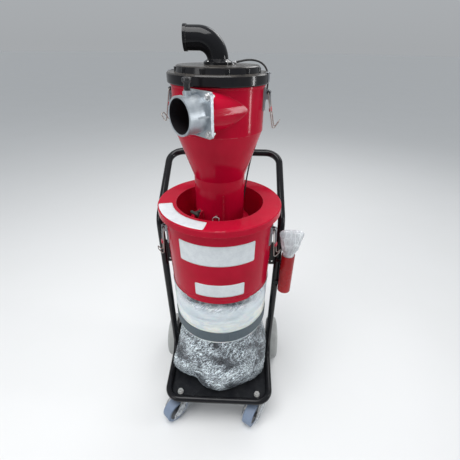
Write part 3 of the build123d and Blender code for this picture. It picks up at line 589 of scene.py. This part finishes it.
NODE_FINISHES = {
    "frame_tube": BLACK, "tray_plate": TRAY, "rear_axle": ZINC, "drum_shell": RED, "recess_pan": RED,
    "cyclone_cone": RED, "cyclone_body": RED, "inlet_duct": RED, "inlet_spout": ALUMINIUM,
    "inlet_knob": BLACK_PLASTIC, "lid": LID, "vortex_tube": ZINC, "outlet_elbow": BLACK, "neck_clamp": RED,
    "clamp_grip": RUBBER, "ring_pin": STEEL, "bag_store": SLEEVE, "bag_strap": STRAP, "wrapped_bundle": CONTENTS,
    "tube_holder": HOLDER, "holder_bracket": BLACK, "holder_bag": BAG_FILM, "earth_lead": SHEATH,
}
SIDED_FINISHES = {
    "rear_wheel_%s_rim": BLACK_PLASTIC, "caster_%s_mount": ZINC, "caster_%s_fork": ZINC,
    "caster_%s_core": CASTER_CORE, "caster_%s_tyre": CASTER_TYRE, "drum_bracket_%s": BLACK,
    "lid_latch_%s": LATCH_PLATE, "drum_latch_%s": LATCH_PLATE, "lid_bail_%s": BAIL_WIRE, "drum_bail_%s": BAIL_WIRE,
}
for hand, outward in (("left", -1), ("right", 1)):
    NODE_FINISHES.update((name % hand, material) for name, material in SIDED_FINISHES.items())
    tyre = "rear_wheel_%s_tyre" % hand
    low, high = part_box(tyre)
    NODE_FINISHES[tyre] = make_tyre_rubber(
        "grey tread rubber " + hand, (0.43, 0.44, 0.43), (0.014, 0.014, 0.015), tuple(centre_of(tyre)),
        outward, 88.0, 7.0 - (high.x - low.x) / 2 / MM)
for name, material in NODE_FINISHES.items():
    nodes[name].data.materials.clear()
    nodes[name].data.materials.append(material)


# Mesh helpers


def turned(bm, profile, place, steps=48, closed=False):
    """Turns a profile of (radius, height) in millimetres round the Z of a placement."""
    verts = [bm.verts.new(place @ Vector((r * MM, 0, h * MM))) for r, h in profile]
    pairs = list(zip(verts, verts[1:]))
    if closed:
        pairs.append((verts[-1], verts[0]))
    edges = [bm.edges.new(pair) for pair in pairs]
    bmesh.ops.spin(bm, geom=verts + edges, cent=place.translation, axis=place.col[2].xyz,
                   angle=tau, steps=steps, use_merge=True)


def hexagon(bm, across, height, place, start=0.0):
    """A hexagon head with its top corners taken off."""
    made = bmesh.ops.create_cone(
        bm, cap_ends=True, segments=6, radius1=across / sqrt(3) * MM, radius2=across / sqrt(3) * MM,
        depth=height * MM, matrix=place @ Matrix.Translation((0, 0, (start + height / 2) * MM)))
    far = max((place.inverted() @ v.co).z for v in made["verts"])
    top = [v for v in made["verts"] if (place.inverted() @ v.co).z > far - 1e-6]
    edges = [e for e in bm.edges if e.verts[0] in top and e.verts[1] in top]
    bmesh.ops.bevel(bm, geom=edges, offset=across * 0.07 * MM, segments=2, profile=0.5,
                    affect="EDGES", material=-1)


def bolt(bm, place, across, washer=True):
    """A hexagon head on its washer, standing on the placement's Z."""
    start = 0.0
    if washer:
        start = across * 0.13
        outer = across * 0.92
        turned(bm, [(0, -0.1), (outer, -0.1), (outer, start * 0.7), (outer - 0.3, start), (0, start)], place, 28)
    hexagon(bm, across, across * 0.55, place, start - 0.05)


def tube(bm, points, radius, sides=10, closed=False):
    """A round bar through points in the row frame; radius is a number or a list in millimetres."""
    rings = []
    count = len(points)
    for i, point in enumerate(points):
        before = points[i - 1] if i or closed else points[i]
        after = points[(i + 1) % count] if i < count - 1 or closed else points[i]
        r = radius if isinstance(radius, (int, float)) else radius[i]
        rings.append(bmesh.ops.create_circle(
            bm, segments=sides, radius=r * MM, matrix=placed(point, after - before, (0.13, 0.21, 0.97)))["verts"])
    skin_over(bm, rings, closed)


def skin_over(bm, rings, closed=False):
    """Joins rings of vertices into one skin, and closes its ends or joins them to each other."""
    loops = [list({e for v in ring for e in v.link_edges}) for ring in rings]
    for a, b in zip(loops, loops[1:] + (loops[:1] if closed else [])):
        bmesh.ops.bridge_loops(bm, edges=a + b)
    if not closed:
        for loop in (loops[0], loops[-1]):
            bmesh.ops.contextual_create(bm, geom=loop)


def rounded_block(bm, size, place, edge=0.6):
    """A box of size millimetres, centred on a placement, with its edges rounded."""
    made = bmesh.ops.create_cube(bm, size=1, matrix=place @ Matrix.Diagonal((*[s * MM for s in size], 1)))
    edges = list({e for v in made["verts"] for e in v.link_edges})
    bmesh.ops.bevel(bm, geom=edges, offset=edge * MM, segments=2, profile=0.5, affect="EDGES", material=-1)


def piece(name, bm, material, body="trolley", sharp=34, tidy=True):
    """Closes the mesh, points its faces out, and makes it a piece that rides on a body."""
    if tidy:
        bmesh.ops.remove_doubles(bm, verts=bm.verts, dist=2e-6)
        bmesh.ops.recalc_face_normals(bm, faces=bm.faces)
    for face in bm.faces:
        face.smooth = True
    mesh = bpy.data.meshes.new(name)
    bm.to_mesh(mesh)
    bm.free()
    mesh.set_sharp_from_angle(angle=radians(sharp))
    mesh.materials.append(material)
    obj = linked(name, mesh)
    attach(obj, body)
    return obj


def thickened(obj, thickness):
    wall = obj.modifiers.new("thickness", "SOLIDIFY")
    wall.thickness, wall.offset = thickness * MM, 1.0
    return obj


def smooth_step(low, high, value):
    t = min(1.0, max(0.0, (value - low) / (high - low)))
    return t * t * (3 - 2 * t)


def between(table, value):
    """Straight-line reading of a table of (key, value) pairs in rising order."""
    for (k0, v0), (k1, v1) in zip(table, table[1:]):
        if value <= k1:
            return v0 + (v1 - v0) * max(0.0, value - k0) / (k1 - k0)
    return table[-1][1]


# Folded sleeve under the drum
SLEEVE_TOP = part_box("bag_store")[1].z / MM
SLEEVE_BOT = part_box("bag_store")[0].z / MM
SLEEVE_INNER = 151.0
SLEEVE_WALL = [
    (408.0, 175.9), (412, 176.1), (416, 175.4), (440, 175.2), (463, 175.3), (470, 174.4), (478, 176.0), (487, 174.8),
    (495, 176.2), (503, 175.0), (511, 175.4), (517, 173.0), (523, 174.6), (532, 176.6), (548, 177.2), (560, 176.6),
]
# Above the wall's last height: distance up the skin, then radius and height under the hem's front and at its sides
SLEEVE_HEAD = [
    (560, 176.6, 560, 176.6, 560), (574, 176.4, 572, 177.0, 576), (586, 175.4, 581, 177.4, 590),
    (597, 172.5, 589, 177.8, 601), (607, 168.0, 596, 178.2, 609), (614, 163.5, 600, 178.3, 613),
    (620, 159.5, 601.4, 177.5, 613), (628, 157.0, 602, 176.9, 606), (638, 153.0, 602.2, 168.0, 603.6),
]


def sleeve_spot(level, side):
    """Radius and height of the sleeve's skin at a level up it, for a share of the side's shape."""
    if level <= SLEEVE_HEAD[0][0]:
        return between(SLEEVE_WALL, level), level
    front_r, front_z, side_r, side_z = [
        between([(row[0], row[k]) for row in SLEEVE_HEAD], level) for k in (1, 2, 3, 4)]
    return front_r + (side_r - front_r) * side, front_z + (side_z - front_z) * side


def make_sleeve():
    bm = bmesh.new()
    steps = 300
    top = SLEEVE_HEAD[-1][0]
    levels = [SLEEVE_BOT + (top - SLEEVE_BOT) * i / 74 for i in range(75)]
    outer = [(180, level) for level in levels]
    inner = [(SLEEVE_INNER, SLEEVE_TOP - 2), (SLEEVE_INNER, SLEEVE_BOT + 2), (SLEEVE_INNER + 6, SLEEVE_BOT)]
    turned(bm, outer + inner, UPRIGHT, steps, closed=True)
    for v in bm.verts:
        flat = (v.co - AXIS) / MM
        if hypot(flat.x, flat.y) < 179:
            continue
        angle = atan2(flat.y, flat.x)
        c, s = cos(angle), sin(angle)
        level = flat.z
        drift = 6.0 * ripple(c * 2.2, s * 2.2, level * 0.011)
        drift += 3.0 * ripple(c * 6, s * 6, level * 0.02 + 5)
        free = smooth_step(468, 486, level)
        calm = free * (1 - smooth_step(540, 560, level))
        side = 1 - smooth_step(0.74, 0.96, -s)
        wall, z = sleeve_spot(level + drift * calm, side)
        z += (level - (level + drift * calm)) if level < SLEEVE_HEAD[0][0] else 0.0
        gather = smooth_step(556, 600, level) * (1 - side)
        crimp = noise.ridged_multi_fractal(Vector((c * 9, s * 9, level * 0.012)), 0.9, 2.1, 3, 1.0, 2.0)
        folds = ripple(c * 3.5, s * 3.5, level * 0.045)
        wall += gather * (crimp - 1.2) * 2.6 + free * folds * 1.2 * (1 - 0.8 * side * smooth_step(560, 590, level))
        wall += 0.9 * calm * ripple(c * 14, s * 14, level * 0.06)
        wall = min(wall, 178.4)
        z += gather * 1.2 * ripple(c * 12, s * 12, 3)
        v.co = at(wall * c, wall * s, min(z, SLEEVE_TOP + 9.5))
    obj = piece("folded_sleeve", bm, SLEEVE, sharp=60)
    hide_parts("bag_store")


# Strap round the sleeve, lapped over itself at the front right
STRAP_BOT = 415.0
STRAP_TOP = 462.0
STRAP_R = 176.3
LAP_FROM, LAP_TO = -78.0, -66.0


def make_strap():
    bm = bmesh.new()
    steps = 260
    rows = [STRAP_BOT + (STRAP_TOP - STRAP_BOT) * i / 10 for i in range(11)]
    outer = [(STRAP_R + 1.9 - (0.5 if i in (0, 10) else 0), z) for i, z in enumerate(rows)]
    inner = [(STRAP_R, z) for z in reversed(rows)]
    turned(bm, outer + inner, UPRIGHT, steps, closed=True)
    for v in bm.verts:
        flat = (v.co - AXIS) / MM
        angle = atan2(flat.y, flat.x)
        wave = 0.5 * ripple(cos(angle) * 4, sin(angle) * 4, flat.z * 0.03)
        lift = 1.1 * ripple(cos(angle) * 2.6, sin(angle) * 2.6, 8)
        outward = Vector((cos(angle), sin(angle), 0)) * wave
        v.co += (outward + Vector((0, 0, lift))) * MM
    band = piece("holding_strap", bm, STRAP, sharp=50)
    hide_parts("bag_strap")

    bm = bmesh.new()
    made = bmesh.ops.create_grid(bm, x_segments=26, y_segments=8, size=0.5)
    for v in made["verts"]:
        a = radians(LAP_FROM + (LAP_TO - LAP_FROM) * (v.co.x + 0.5))
        z = STRAP_BOT + 1.0 + (STRAP_TOP - STRAP_BOT - 2.0) * (v.co.y + 0.5)
        lift = 1.1 * ripple(cos(a) * 2.6, sin(a) * 2.6, 8)
        v.co = at((STRAP_R + 1.9) * cos(a), (STRAP_R + 1.9) * sin(a), z + lift)
    lap = thickened(piece("strap_lap", bm, STRAP), 1.4)
    soft = lap.modifiers.new("edge", "BEVEL")
    soft.width, soft.segments = 0.4 * MM, 2
    bm = bmesh.new()
    for a in (LAP_TO - 1.2, LAP_FROM + 1.4):
        for i in range(9):
            z = STRAP_BOT + 4 + i * 4.7
            ends = [around(a, STRAP_R + 3.5, z - 1.3), around(a, STRAP_R + 3.7, z), around(a, STRAP_R + 3.5, z + 1.3)]
            tube(bm, ends, [0.25, 0.42, 0.25], 6)
    piece("lap_stitches", bm, STITCH)


# Bundle wrapped in film on the tray
TRAY_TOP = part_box("wrapped_bundle")[0].z / MM
BUNDLE_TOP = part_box("wrapped_bundle")[1].z / MM
BUNDLE_Y = -30.0
BUNDLE_R = 190.0
BUNDLE_TURNS = (
    0, 25, 50, 75, 100, 130, 160, 180, 195, 208, 222, 236, 250, 263, 276, 290, 305, 320, 334, 347)
BUNDLE_REACH = {
    0.0: (96, 101, 98, 84, 82, 96, 99, 97, 98, 93, 82, 77, 86, 88, 88, 85, 86, 92, 97, 96),
    0.13: (100, 105, 106, 88, 86, 103, 103, 101, 102, 108, 96, 87, 95, 97, 97, 94, 95, 102, 106, 102),
    0.31: (100, 106, 110, 95, 93, 109, 103, 98, 103, 114, 100, 90, 90, 95, 96, 96, 98, 105, 106, 102),
    0.63: (98, 101, 104, 94, 93, 100, 95, 92, 93, 95, 91, 85, 83, 82, 82, 84, 89, 96, 101, 100),
    1.0: (79, 83, 84, 79, 78, 82, 78, 75, 74, 75, 73, 68, 65, 63, 63, 65, 69, 76, 79, 78),
}


def smooth_reading(table, key):
    """Reading of a smooth curve through a table of (key, value) pairs in rising order."""
    i = 0
    while i < len(table) - 2 and key > table[i + 1][0]:
        i += 1
    (k0, v0), (k1, v1) = table[i], table[i + 1]
    before, after = table[max(i - 1, 0)], table[min(i + 2, len(table) - 1)]
    m0 = (v1 - before[1]) / (k1 - before[0]) * (k1 - k0)
    m1 = (after[1] - v0) / (after[0] - k0) * (k1 - k0)
    t = (key - k0) / (k1 - k0)
    rise = t * t * (3 - 2 * t)
    return v0 + (v1 - v0) * rise + m0 * t * (1 - t) ** 2 - m1 * t * t * (1 - t)


def crumpled(point, seed):
    """How far film stands out at a place in millimetres: facets with sharp creases between them."""
    p = point * 0.001 + Vector((seed, 0, 0))
    facets = abs(noise.noise(p * 21)) * 6.5 + abs(noise.noise(p * 47 + Vector((4, 1, 7)))) * 3.6
    return 3.2 - facets - abs(noise.noise(p * 115)) * 1.6


def make_bundle_skin(bm, segments, levels, inset, seed, rough):
    """Rings up the bundle's outline and in over its top and bottom, crumpled."""
    height = BUNDLE_TOP - TRAY_TOP
    wrapped = [(turn - 360, k) for k, turn in enumerate(BUNDLE_TURNS)][-2:]
    wrapped += [(turn, k) for k, turn in enumerate(BUNDLE_TURNS)]
    wrapped += [(turn + 360, k) for k, turn in enumerate(BUNDLE_TURNS)][:2]
    spokes = []
    for j in range(segments):
        turn = 360 * j / segments
        spokes.append((radians(turn), [
            (share, smooth_reading([(t, reach[k]) for t, k in wrapped], turn) * BUNDLE_R / 100)
            for share, reach in BUNDLE_REACH.items()]))
    caps = 10
    rows = [(0.0, (i + 0.6) / (caps + 0.6)) for i in range(caps)]
    rows += [(i / (levels - 1), 1.0) for i in range(levels)]
    rows += [(1.0, (i + 0.6) / (caps + 0.6)) for i in reversed(range(caps))]
    rings = []
    for share, across in rows:
        ring = bmesh.ops.create_circle(bm, segments=segments, radius=1)["verts"]
        for v, (a, spoke) in zip(ring, spokes):
            r = smooth_reading(spoke, share)
            corner = smooth_step(0.0, 0.04, share) * (1 - smooth_step(0.95, 1.0, share))
            p = Vector((r * across * cos(a), r * across * sin(a), height * share))
            push = crumpled(p, seed) * rough
            wall = (push - inset) * (0.25 + 0.75 * corner) if across == 1.0 else 0.0
            p.x += wall * cos(a)
            p.y += wall * sin(a)
            if share == 1.0:
                p.z += min(0.0, push - inset - 2.0) * (1 if across < 1 else 0.5)
            else:
                p.z = max(p.z, 0.3)
            v.co = at(p.x, BUNDLE_Y + p.y, TRAY_TOP + p.z)
        rings.append(ring)
    skin_over(bm, rings)


def make_bundle():
    bm = bmesh.new()
    make_bundle_skin(bm, 160, 50, 7.0, 3.0, 1.6)
    core = piece("bundle_contents", bm, CONTENTS, sharp=60)
    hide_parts("wrapped_bundle")
    bm = bmesh.new()
    make_bundle_skin(bm, 360, 110, 0.0, 0.0, 1.0)
    film = piece("bundle_film", bm, WRAP, sharp=28)


# Folded bags standing in the tube holder
HOLDER_LOW, HOLDER_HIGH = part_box("tube_holder")
HOLDER_X = ((HOLDER_LOW.x + HOLDER_HIGH.x) / 2 - AXIS.x) / MM
HOLDER_Y = ((HOLDER_LOW.y + HOLDER_HIGH.y) / 2 - AXIS.y) / MM
HOLDER_TOP = HOLDER_HIGH.z / MM
BAG_RINGS = [
    (-145, 12, 12, 0, 0), (-60, 20, 20, 0, 0), (-16, 20.5, 20.5, 0, 0), (-3, 20.2, 20, 0, -0.5),
    (6, 20.6, 19.5, 0, -3), (20, 24, 19, 0, -9), (38, 29, 18.5, -1, -18), (58, 34, 18, -2, -25),
    (78, 38, 18, -2.5, -26.5), (94, 41, 17.5, -3, -27), (106, 41, 15, -3.5, -27), (113, 38, 11, -4, -27),
    (117, 31, 6, -4, -27),
]


def make_holder_bag():
    bm = bmesh.new()
    rings = []
    levels = 110
    low, high = BAG_RINGS[0][0], BAG_RINGS[-1][0]
    for i in range(levels):
        h = low + (high - low) * i / (levels - 1)
        a, b, x, y = [between([(row[0], row[k]) for row in BAG_RINGS], h) for k in (1, 2, 3, 4)]
        middle = Matrix.Translation(at(HOLDER_X + x, HOLDER_Y + y, HOLDER_TOP + h))
        ring = bmesh.ops.create_circle(
            bm, segments=132, radius=1, matrix=middle @ Matrix.Diagonal((a * MM, b * MM, 1, 1)))["verts"]
        rings.append(ring)
        free = smooth_step(-4, 16, h)
        for v in ring:
            p = (v.co - AXIS) / MM
            out = Vector((p.x - HOLDER_X - x, p.y - HOLDER_Y - y, 0)).normalized()
            q = Vector((p.x, p.y, p.z * 0.45)) * 0.001
            fold = abs(noise.noise(q * 60)) * 6.0 + abs(noise.noise(q * 150)) * 2.2
            v.co += out * MM * (noise.noise(q * 22) * 3.0 - fold) * free
    skin_over(bm, rings)
    obj = piece("folded_bags", bm, BAG_FILM, sharp=35)
    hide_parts("holder_bag")


# Earthing lead, in its own points
LEAD_R = 2.5
LEAD_POINTS = [
    (34, 30, 1288.7), (52, 44, 1291), (74, 58, 1295), (98, 70, 1294), (119, 80, 1286),
    (134, 88, 1268), (138, 92, 1236), (133, 97, 1193), (126, 102, 1147), (117, 105, 1101),
    (107, 104, 1054), (97, 100, 1008), (89, 95, 966), (84, 88, 926), (80, 78, 890), (75, 64, 866),
    (72, 55, 854),
]


def make_lead():
    data = bpy.data.curves.new("earthing_lead", "CURVE")
    data.dimensions = "3D"
    spline = data.splines.new("NURBS")
    spline.points.add(len(LEAD_POINTS) - 1)
    for point, place in zip(spline.points, LEAD_POINTS):
        point.co = (*at(*place), 1)
    spline.order_u = 3
    spline.use_endpoint_u = True
    spline.resolution_u = 10
    data.bevel_depth = LEAD_R * MM
    data.bevel_resolution = 4
    data.use_fill_caps = True
    data.materials.append(SHEATH)
    lead = linked("earthing_lead", data)
    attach(lead, "trolley")
    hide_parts("earth_lead")

    end, before = at(*LEAD_POINTS[-1]), at(*LEAD_POINTS[-2])
    back = (before - end).normalized()
    bm = bmesh.new()
    turned(bm, [(0, 0), (3.4, 0), (3.6, 1), (3.0, 2.5), (3.6, 4), (3.0, 5.5), (3.6, 7), (3.4, 8), (0, 8)],
           placed(end + back * 9 * MM, back), 24)
    ferrule = piece("lead_crimp", bm, STEEL)
    bm = bmesh.new()
    turned(bm, [(0, -1), (3.9, -1), (4.2, 2), (3.8, 9), (2.9, 11), (0, 11)], placed(end, back), 24)
    boot = piece("lead_boot", bm, RUBBER)

    bm = bmesh.new()
    stud = placed(Vector((end.x, end.y, 0)), (0, 0, 1))
    turned(bm, [(0, 836), (7.3, 836), (7.3, 849.6), (6.8, 850.3), (3.8, 850.3), (3.8, 852.8), (0, 852.8)], stud, 32)
    piece("earth_stud_sleeve", bm, STEEL)

    bm = bmesh.new()
    start = at(*LEAD_POINTS[0])
    top = placed(Vector((start.x, start.y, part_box("lid")[1].z)), (0, 0, 1))
    turned(bm, [(2.6, 0), (6.5, 0), (6.5, 0.9), (6.1, 1.2), (2.6, 1.2)], top, 28, closed=True)
    along = (at(*LEAD_POINTS[1]) - start).normalized()
    turned(bm, [(0, 4), (3.3, 4), (3.5, 5), (3.0, 8), (3.5, 11), (3.3, 13), (0, 13)], placed(start, along), 20)
    bolt(bm, top @ Matrix.Translation((0, 0, 1.1 * MM)), 8, washer=False)
    terminal = piece("lead_terminal", bm, STEEL)


# Bare stickers, curved to what they lie on


CORNER = 4.0


def sticker(name, place, angles, ends, radius, columns, rows):
    """A round-cornered sticker between two angles and two ends; place turns an angle and a distance into a spot."""
    bm = bmesh.new()
    made = bmesh.ops.create_grid(bm, x_segments=columns, y_segments=rows, size=0.5)
    width = radians(angles[1] - angles[0]) * radius
    for v in made["verts"]:
        u, w = v.co.x + 0.5, v.co.y * 2
        edge = min(u, 1 - u) * width
        half = (ends[1] - ends[0]) / 2
        if edge < CORNER:
            half -= CORNER - sqrt(max(0.0, CORNER ** 2 - (CORNER - edge) ** 2))
        across = (ends[0] + ends[1]) / 2 + w * half
        v.co = place(radians(angles[0] + (angles[1] - angles[0]) * u), across, u, w, edge)
    thickened(piece(name, bm, LABEL), 0.25)


def on_drum(a, z, u, w, edge):
    curl = 0.25 * max(0.0, 1 - edge / 6) * abs(w) ** 4
    r = drum_radius(z) + 0.12 + curl + 0.1 * ripple(u * 9, w * 2, 1)
    return at(r * cos(a), r * sin(a), z)


def on_rim(a, r, u, w, edge):
    return at(r * cos(a), r * sin(a), RIM_TOP + 0.1 + 0.08 * ripple(u * 9, w * 2, 4))


# Bolts, beads and small metalwork
FLANGE_AT = 133.0
FLANGE_SIDE = 100.0
BRACKET_BOLTS = (664, 722)
BRACKET_WELD = 647
KING_BOLT_SEAT = 131.3
RECESS_CORNER = (105.4, 800.8)
LID_SEAM = 1246.0


def make_bolts():
    bm = bmesh.new()
    reach = FLANGE_SIDE / 2 - 10
    for side in (-reach, reach):
        for rise in (-reach, reach):
            bolt(bm, inlet_place(FLANGE_AT, side, rise), 10)
            back = inlet_place(FLANGE_AT - 8, side, rise)
            flipped = back @ Matrix.Rotation(pi, 4, "X")
            bolt(bm, flipped, 10)
            tube(bm, [flipped @ Vector((0, 0, 4 * MM)), flipped @ Vector((0, 0, 11 * MM))], 3, 12)
    piece("inlet_bolts", bm, STEEL)

    bm = bmesh.new()
    for mirror in (1, -1):
        for z in BRACKET_BOLTS:
            bolt(bm, placed(at(mirror * (drum_radius(645) + 6), POST_Y + 21, z), (mirror, 0, 0)), 13)
    piece("bracket_bolts", bm, ZINC)

    bm = bmesh.new()
    lid_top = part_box("lid")[1].z / MM
    for angle in (45, 135, 225, 315):
        place = placed(around(angle, 32, lid_top + 6.8), (0, 0, 1))
        turned(bm, [(0, -0.5), (3.6, -0.5), (3.6, 0.6), (2.8, 1.7), (1.2, 2.2), (0, 2.2)], place, 20)
    piece("flange_screws", bm, ZINC)

    bm = bmesh.new()
    for side in ("left", "right"):
        centre = centre_of("caster_%s_mount" % side)
        place = placed(Vector((centre.x, centre.y, at(0, 0, KING_BOLT_SEAT).z)), (0, 0, 1))
        turned(bm, [(6, 0), (12, 0), (12, 1.6), (11.4, 2.1), (6, 2.1)], place, 32, closed=True)
        turned(bm, [(0, 8.9), (4.2, 8.9), (4.2, 12.6), (3.6, 13.4), (0, 13.4)], place, 24)
    piece("king_bolt_washers", bm, ZINC)


def bead(bm, points, radius, seed=0.0):
    """A weld bead: a thin bar whose width ripples along its length."""
    widths = [radius * (1 + 0.22 * ripple(i * 0.9, seed, 0)) for i in range(len(points))]
    closed = (points[0] - points[-1]).length < 6 * MM
    tube(bm, points, widths, 8, closed)


def make_beads():
    bm = bmesh.new()
    for mirror in (-1, 1):
        for face in (-1, 1):
            y = POST_Y + face * 4.2
            x = mirror * (POST_X - sqrt(TUBE_R ** 2 - 4.2 ** 2) - 0.6)
            bead(bm, [at(x, y, BRACKET_WELD + i * 2.4) for i in range(38)], 2.2, mirror * 3 + face)
    piece("bracket_welds", bm, BLACK)
    bm = bmesh.new()
    bead(bm, [around(i * 2.5, *RECESS_CORNER) for i in range(144)], 1.9, 5)
    bead(bm, [around(90, drum_radius(640 + i * 2.5) + 0.1, 640 + i * 2.5) for i in range(96)], 1.4, 7)
    piece("drum_welds", bm, RED)


LATCHES = {
    "lid_latch_left": (168, 1227, 44, BODY_R), "lid_latch_right": (-12, 1227, 44, BODY_R),
    "drum_latch_left": (200, 838, 60, drum_radius(810)), "drum_latch_right": (-20, 838, 60, drum_radius(810)),
}


def make_latch_details():
    tips, rivets, caps = bmesh.new(), bmesh.new(), bmesh.new()
    for angle, z, length, wall in LATCHES.values():
        turn = facing(angle)
        lean = Matrix.Rotation(radians(-5), 4, "Y")
        centre = moved(wall + 17, 0, z - length / 2)
        tip = turn @ centre @ lean @ moved(0.6, 0, -length / 2 + 4)
        rounded_block(tips, (6.4, 16, 11), tip, 1.6)
        for y in (-8, 8):
            for height in (z - length + 6, z + 5):
                place = turn @ placed(Vector((wall + 2.9, y, height)) * MM, (1, 0, 0))
                turned(rivets, [(0, -0.2), (2.4, -0.2), (2.3, 0.5), (1.6, 1.1), (0, 1.4)], place, 16)
        for s in (-1, 1):
            place = turn @ placed(Vector((wall + 12, s * 7.3, z)) * MM, (0, s, 0))
            turned(caps, [(0, 0), (4.9, 0), (5.1, 0.8), (4.6, 2.0), (3, 2.6), (0, 2.8)], place, 24)
    piece("latch_tips", tips, RED_TIP)
    piece("latch_rivets", rivets, ZINC)
    piece("latch_pivot_caps", caps, BLACK_PLASTIC)


def make_lid_details():
    bm = bmesh.new()
    turned(bm, [(BODY_R + 0.4, LID_SEAM + 0.1), (BODY_R + 5.5, LID_SEAM + 0.2), (BODY_R + 6.4, LID_SEAM + 0.7),
                (BODY_R + 6.0, LID_SEAM + 1.4), (BODY_R + 0.4, LID_SEAM + 1.4)], UPRIGHT, 96, closed=True)
    piece("lid_gasket", bm, RUBBER)
    bm = bmesh.new()
    for angle in (168, -12):
        turn = facing(angle)
        rounded_block(bm, (1.8, 20, 22), turn @ moved(133.4, 0, LID_SEAM + 15), 0.6)
        rounded_block(bm, (9, 20, 1.8), turn @ moved(129.8, 0, LID_SEAM + 25.6), 0.6)
        rounded_block(bm, (5, 14, 1.8), turn @ moved(135.6, 0, LID_SEAM + 24.4), 0.6)
    piece("lid_keepers", bm, LATCH_PLATE)


FILM_TOP = 105
FILM_HALF_WIDTH = 31.5


def make_film_on_casters():
    """Transport film still lying on both cheeks of each caster's fork."""
    for side in ("left", "right"):
        king = centre_of("caster_%s_mount" % side)
        hub = centre_of("caster_%s_core" % side)
        ahead = Vector((hub.x - king.x, hub.y - king.y, 0))
        trail = ahead.length / MM
        hub_z = hub.z / MM
        turn = Matrix.Translation(Vector((king.x, king.y, 0))) @ Matrix.Rotation(atan2(ahead.y, ahead.x), 4, "Z")
        bm = bmesh.new()
        for s in (-1, 1):
            made = bmesh.ops.create_grid(bm, x_segments=44, y_segments=44, size=0.5)
            for v in made["verts"]:
                u, w = v.co.x + 0.5, v.co.y + 0.5
                foot = hub_z - 12 + 9 * ripple(u * 2.3, s * 3, trail * 0.1)
                z = foot + (FILM_TOP - foot) * w
                back = -22 + 5 * ripple(w * 3, s * 5, 2)
                x = back + (between([(0, trail + 34), (0.5, trail + 26), (1, 26)], w) - back) * u
                p = Vector((x, s * 40, z))
                nut = 4.5 * max(0.0, 1 - hypot(x - trail, z - hub_z) / 22)
                out = FILM_HALF_WIDTH + nut + 3.2 * abs(noise.noise(p * 0.05)) + 2.2 * abs(noise.noise(p * 0.13))
                v.co = turn @ (Vector((x, s * out, z)) * MM)
        film = piece("caster_%s_film" % side, bm, FORK_WRAP, body="caster_%s_swivel" % side,
                     sharp=25, tidy=False)
        thickened(film, 0.3)


# Floor and lights


def make_floor():
    bm = bmesh.new()
    bmesh.ops.create_circle(bm, cap_ends=True, segments=96, radius=60)
    mesh = bpy.data.meshes.new("studio_floor")
    bm.to_mesh(mesh)
    bm.free()
    mesh.materials.append(FLOOR)
    linked("studio_floor", mesh)


def lamp(name, place, target, size, energy, spread=180):
    data = bpy.data.lights.new(name, "AREA")
    data.shape = "RECTANGLE"
    data.size, data.size_y = size
    data.energy = energy
    data.spread = radians(spread)
    linked(name, data).matrix_world = placed(Vector(place), Vector(place) - Vector(target))


def make_lights():
    middle = (0, 0, 0.75)
    lamp("overhead", (-0.3, -0.6, 3.4), middle, (2.2, 1.8), 72)
    lamp("front_left", (-2.4, -2.2, 2.0), middle, (1.3, 1.5), 21)
    lamp("right_strip", (1.9, -0.15, 1.15), (0, 0, 1.1), (0.16, 0.9), 3, spread=100)
    lamp("back_fill", (1.3, 2.4, 3.1), middle, (1.8, 1.4), 26)
    world = bpy.data.worlds.new("studio")
    world.use_nodes = True
    tree = world.node_tree
    background = tree.nodes["Background"]
    rise = component(tree, add(tree, "TexCoord").outputs["Generated"], 2)
    sky = blend_colour(tree, remap(tree, rise, 0.0, 0.35), (0.76, 0.79, 0.82), (0.90, 0.95, 1.0))
    tree.links.new(sky, background.inputs[0])
    background.inputs[1].default_value = 0.50
    bpy.context.scene.world = world
    bpy.context.scene.view_settings.view_transform = "Standard"


make_lead()
make_sleeve()
make_strap()
make_bundle()
make_holder_bag()
sticker("front_sticker", on_drum, (-129.7, -50.1), (766.5, 841), drum_radius(766.5), 90, 14)
sticker("lower_sticker", on_drum, (-114.0, -60.4), (638.5, 690), drum_radius(638.5), 64, 10)
sticker("rim_sticker", on_rim, (-168.5, -99.8), (152.5, 196.0), 152.5, 64, 10)
make_bolts()
make_beads()
make_latch_details()
make_lid_details()
make_film_on_casters()
make_floor()
make_lights()
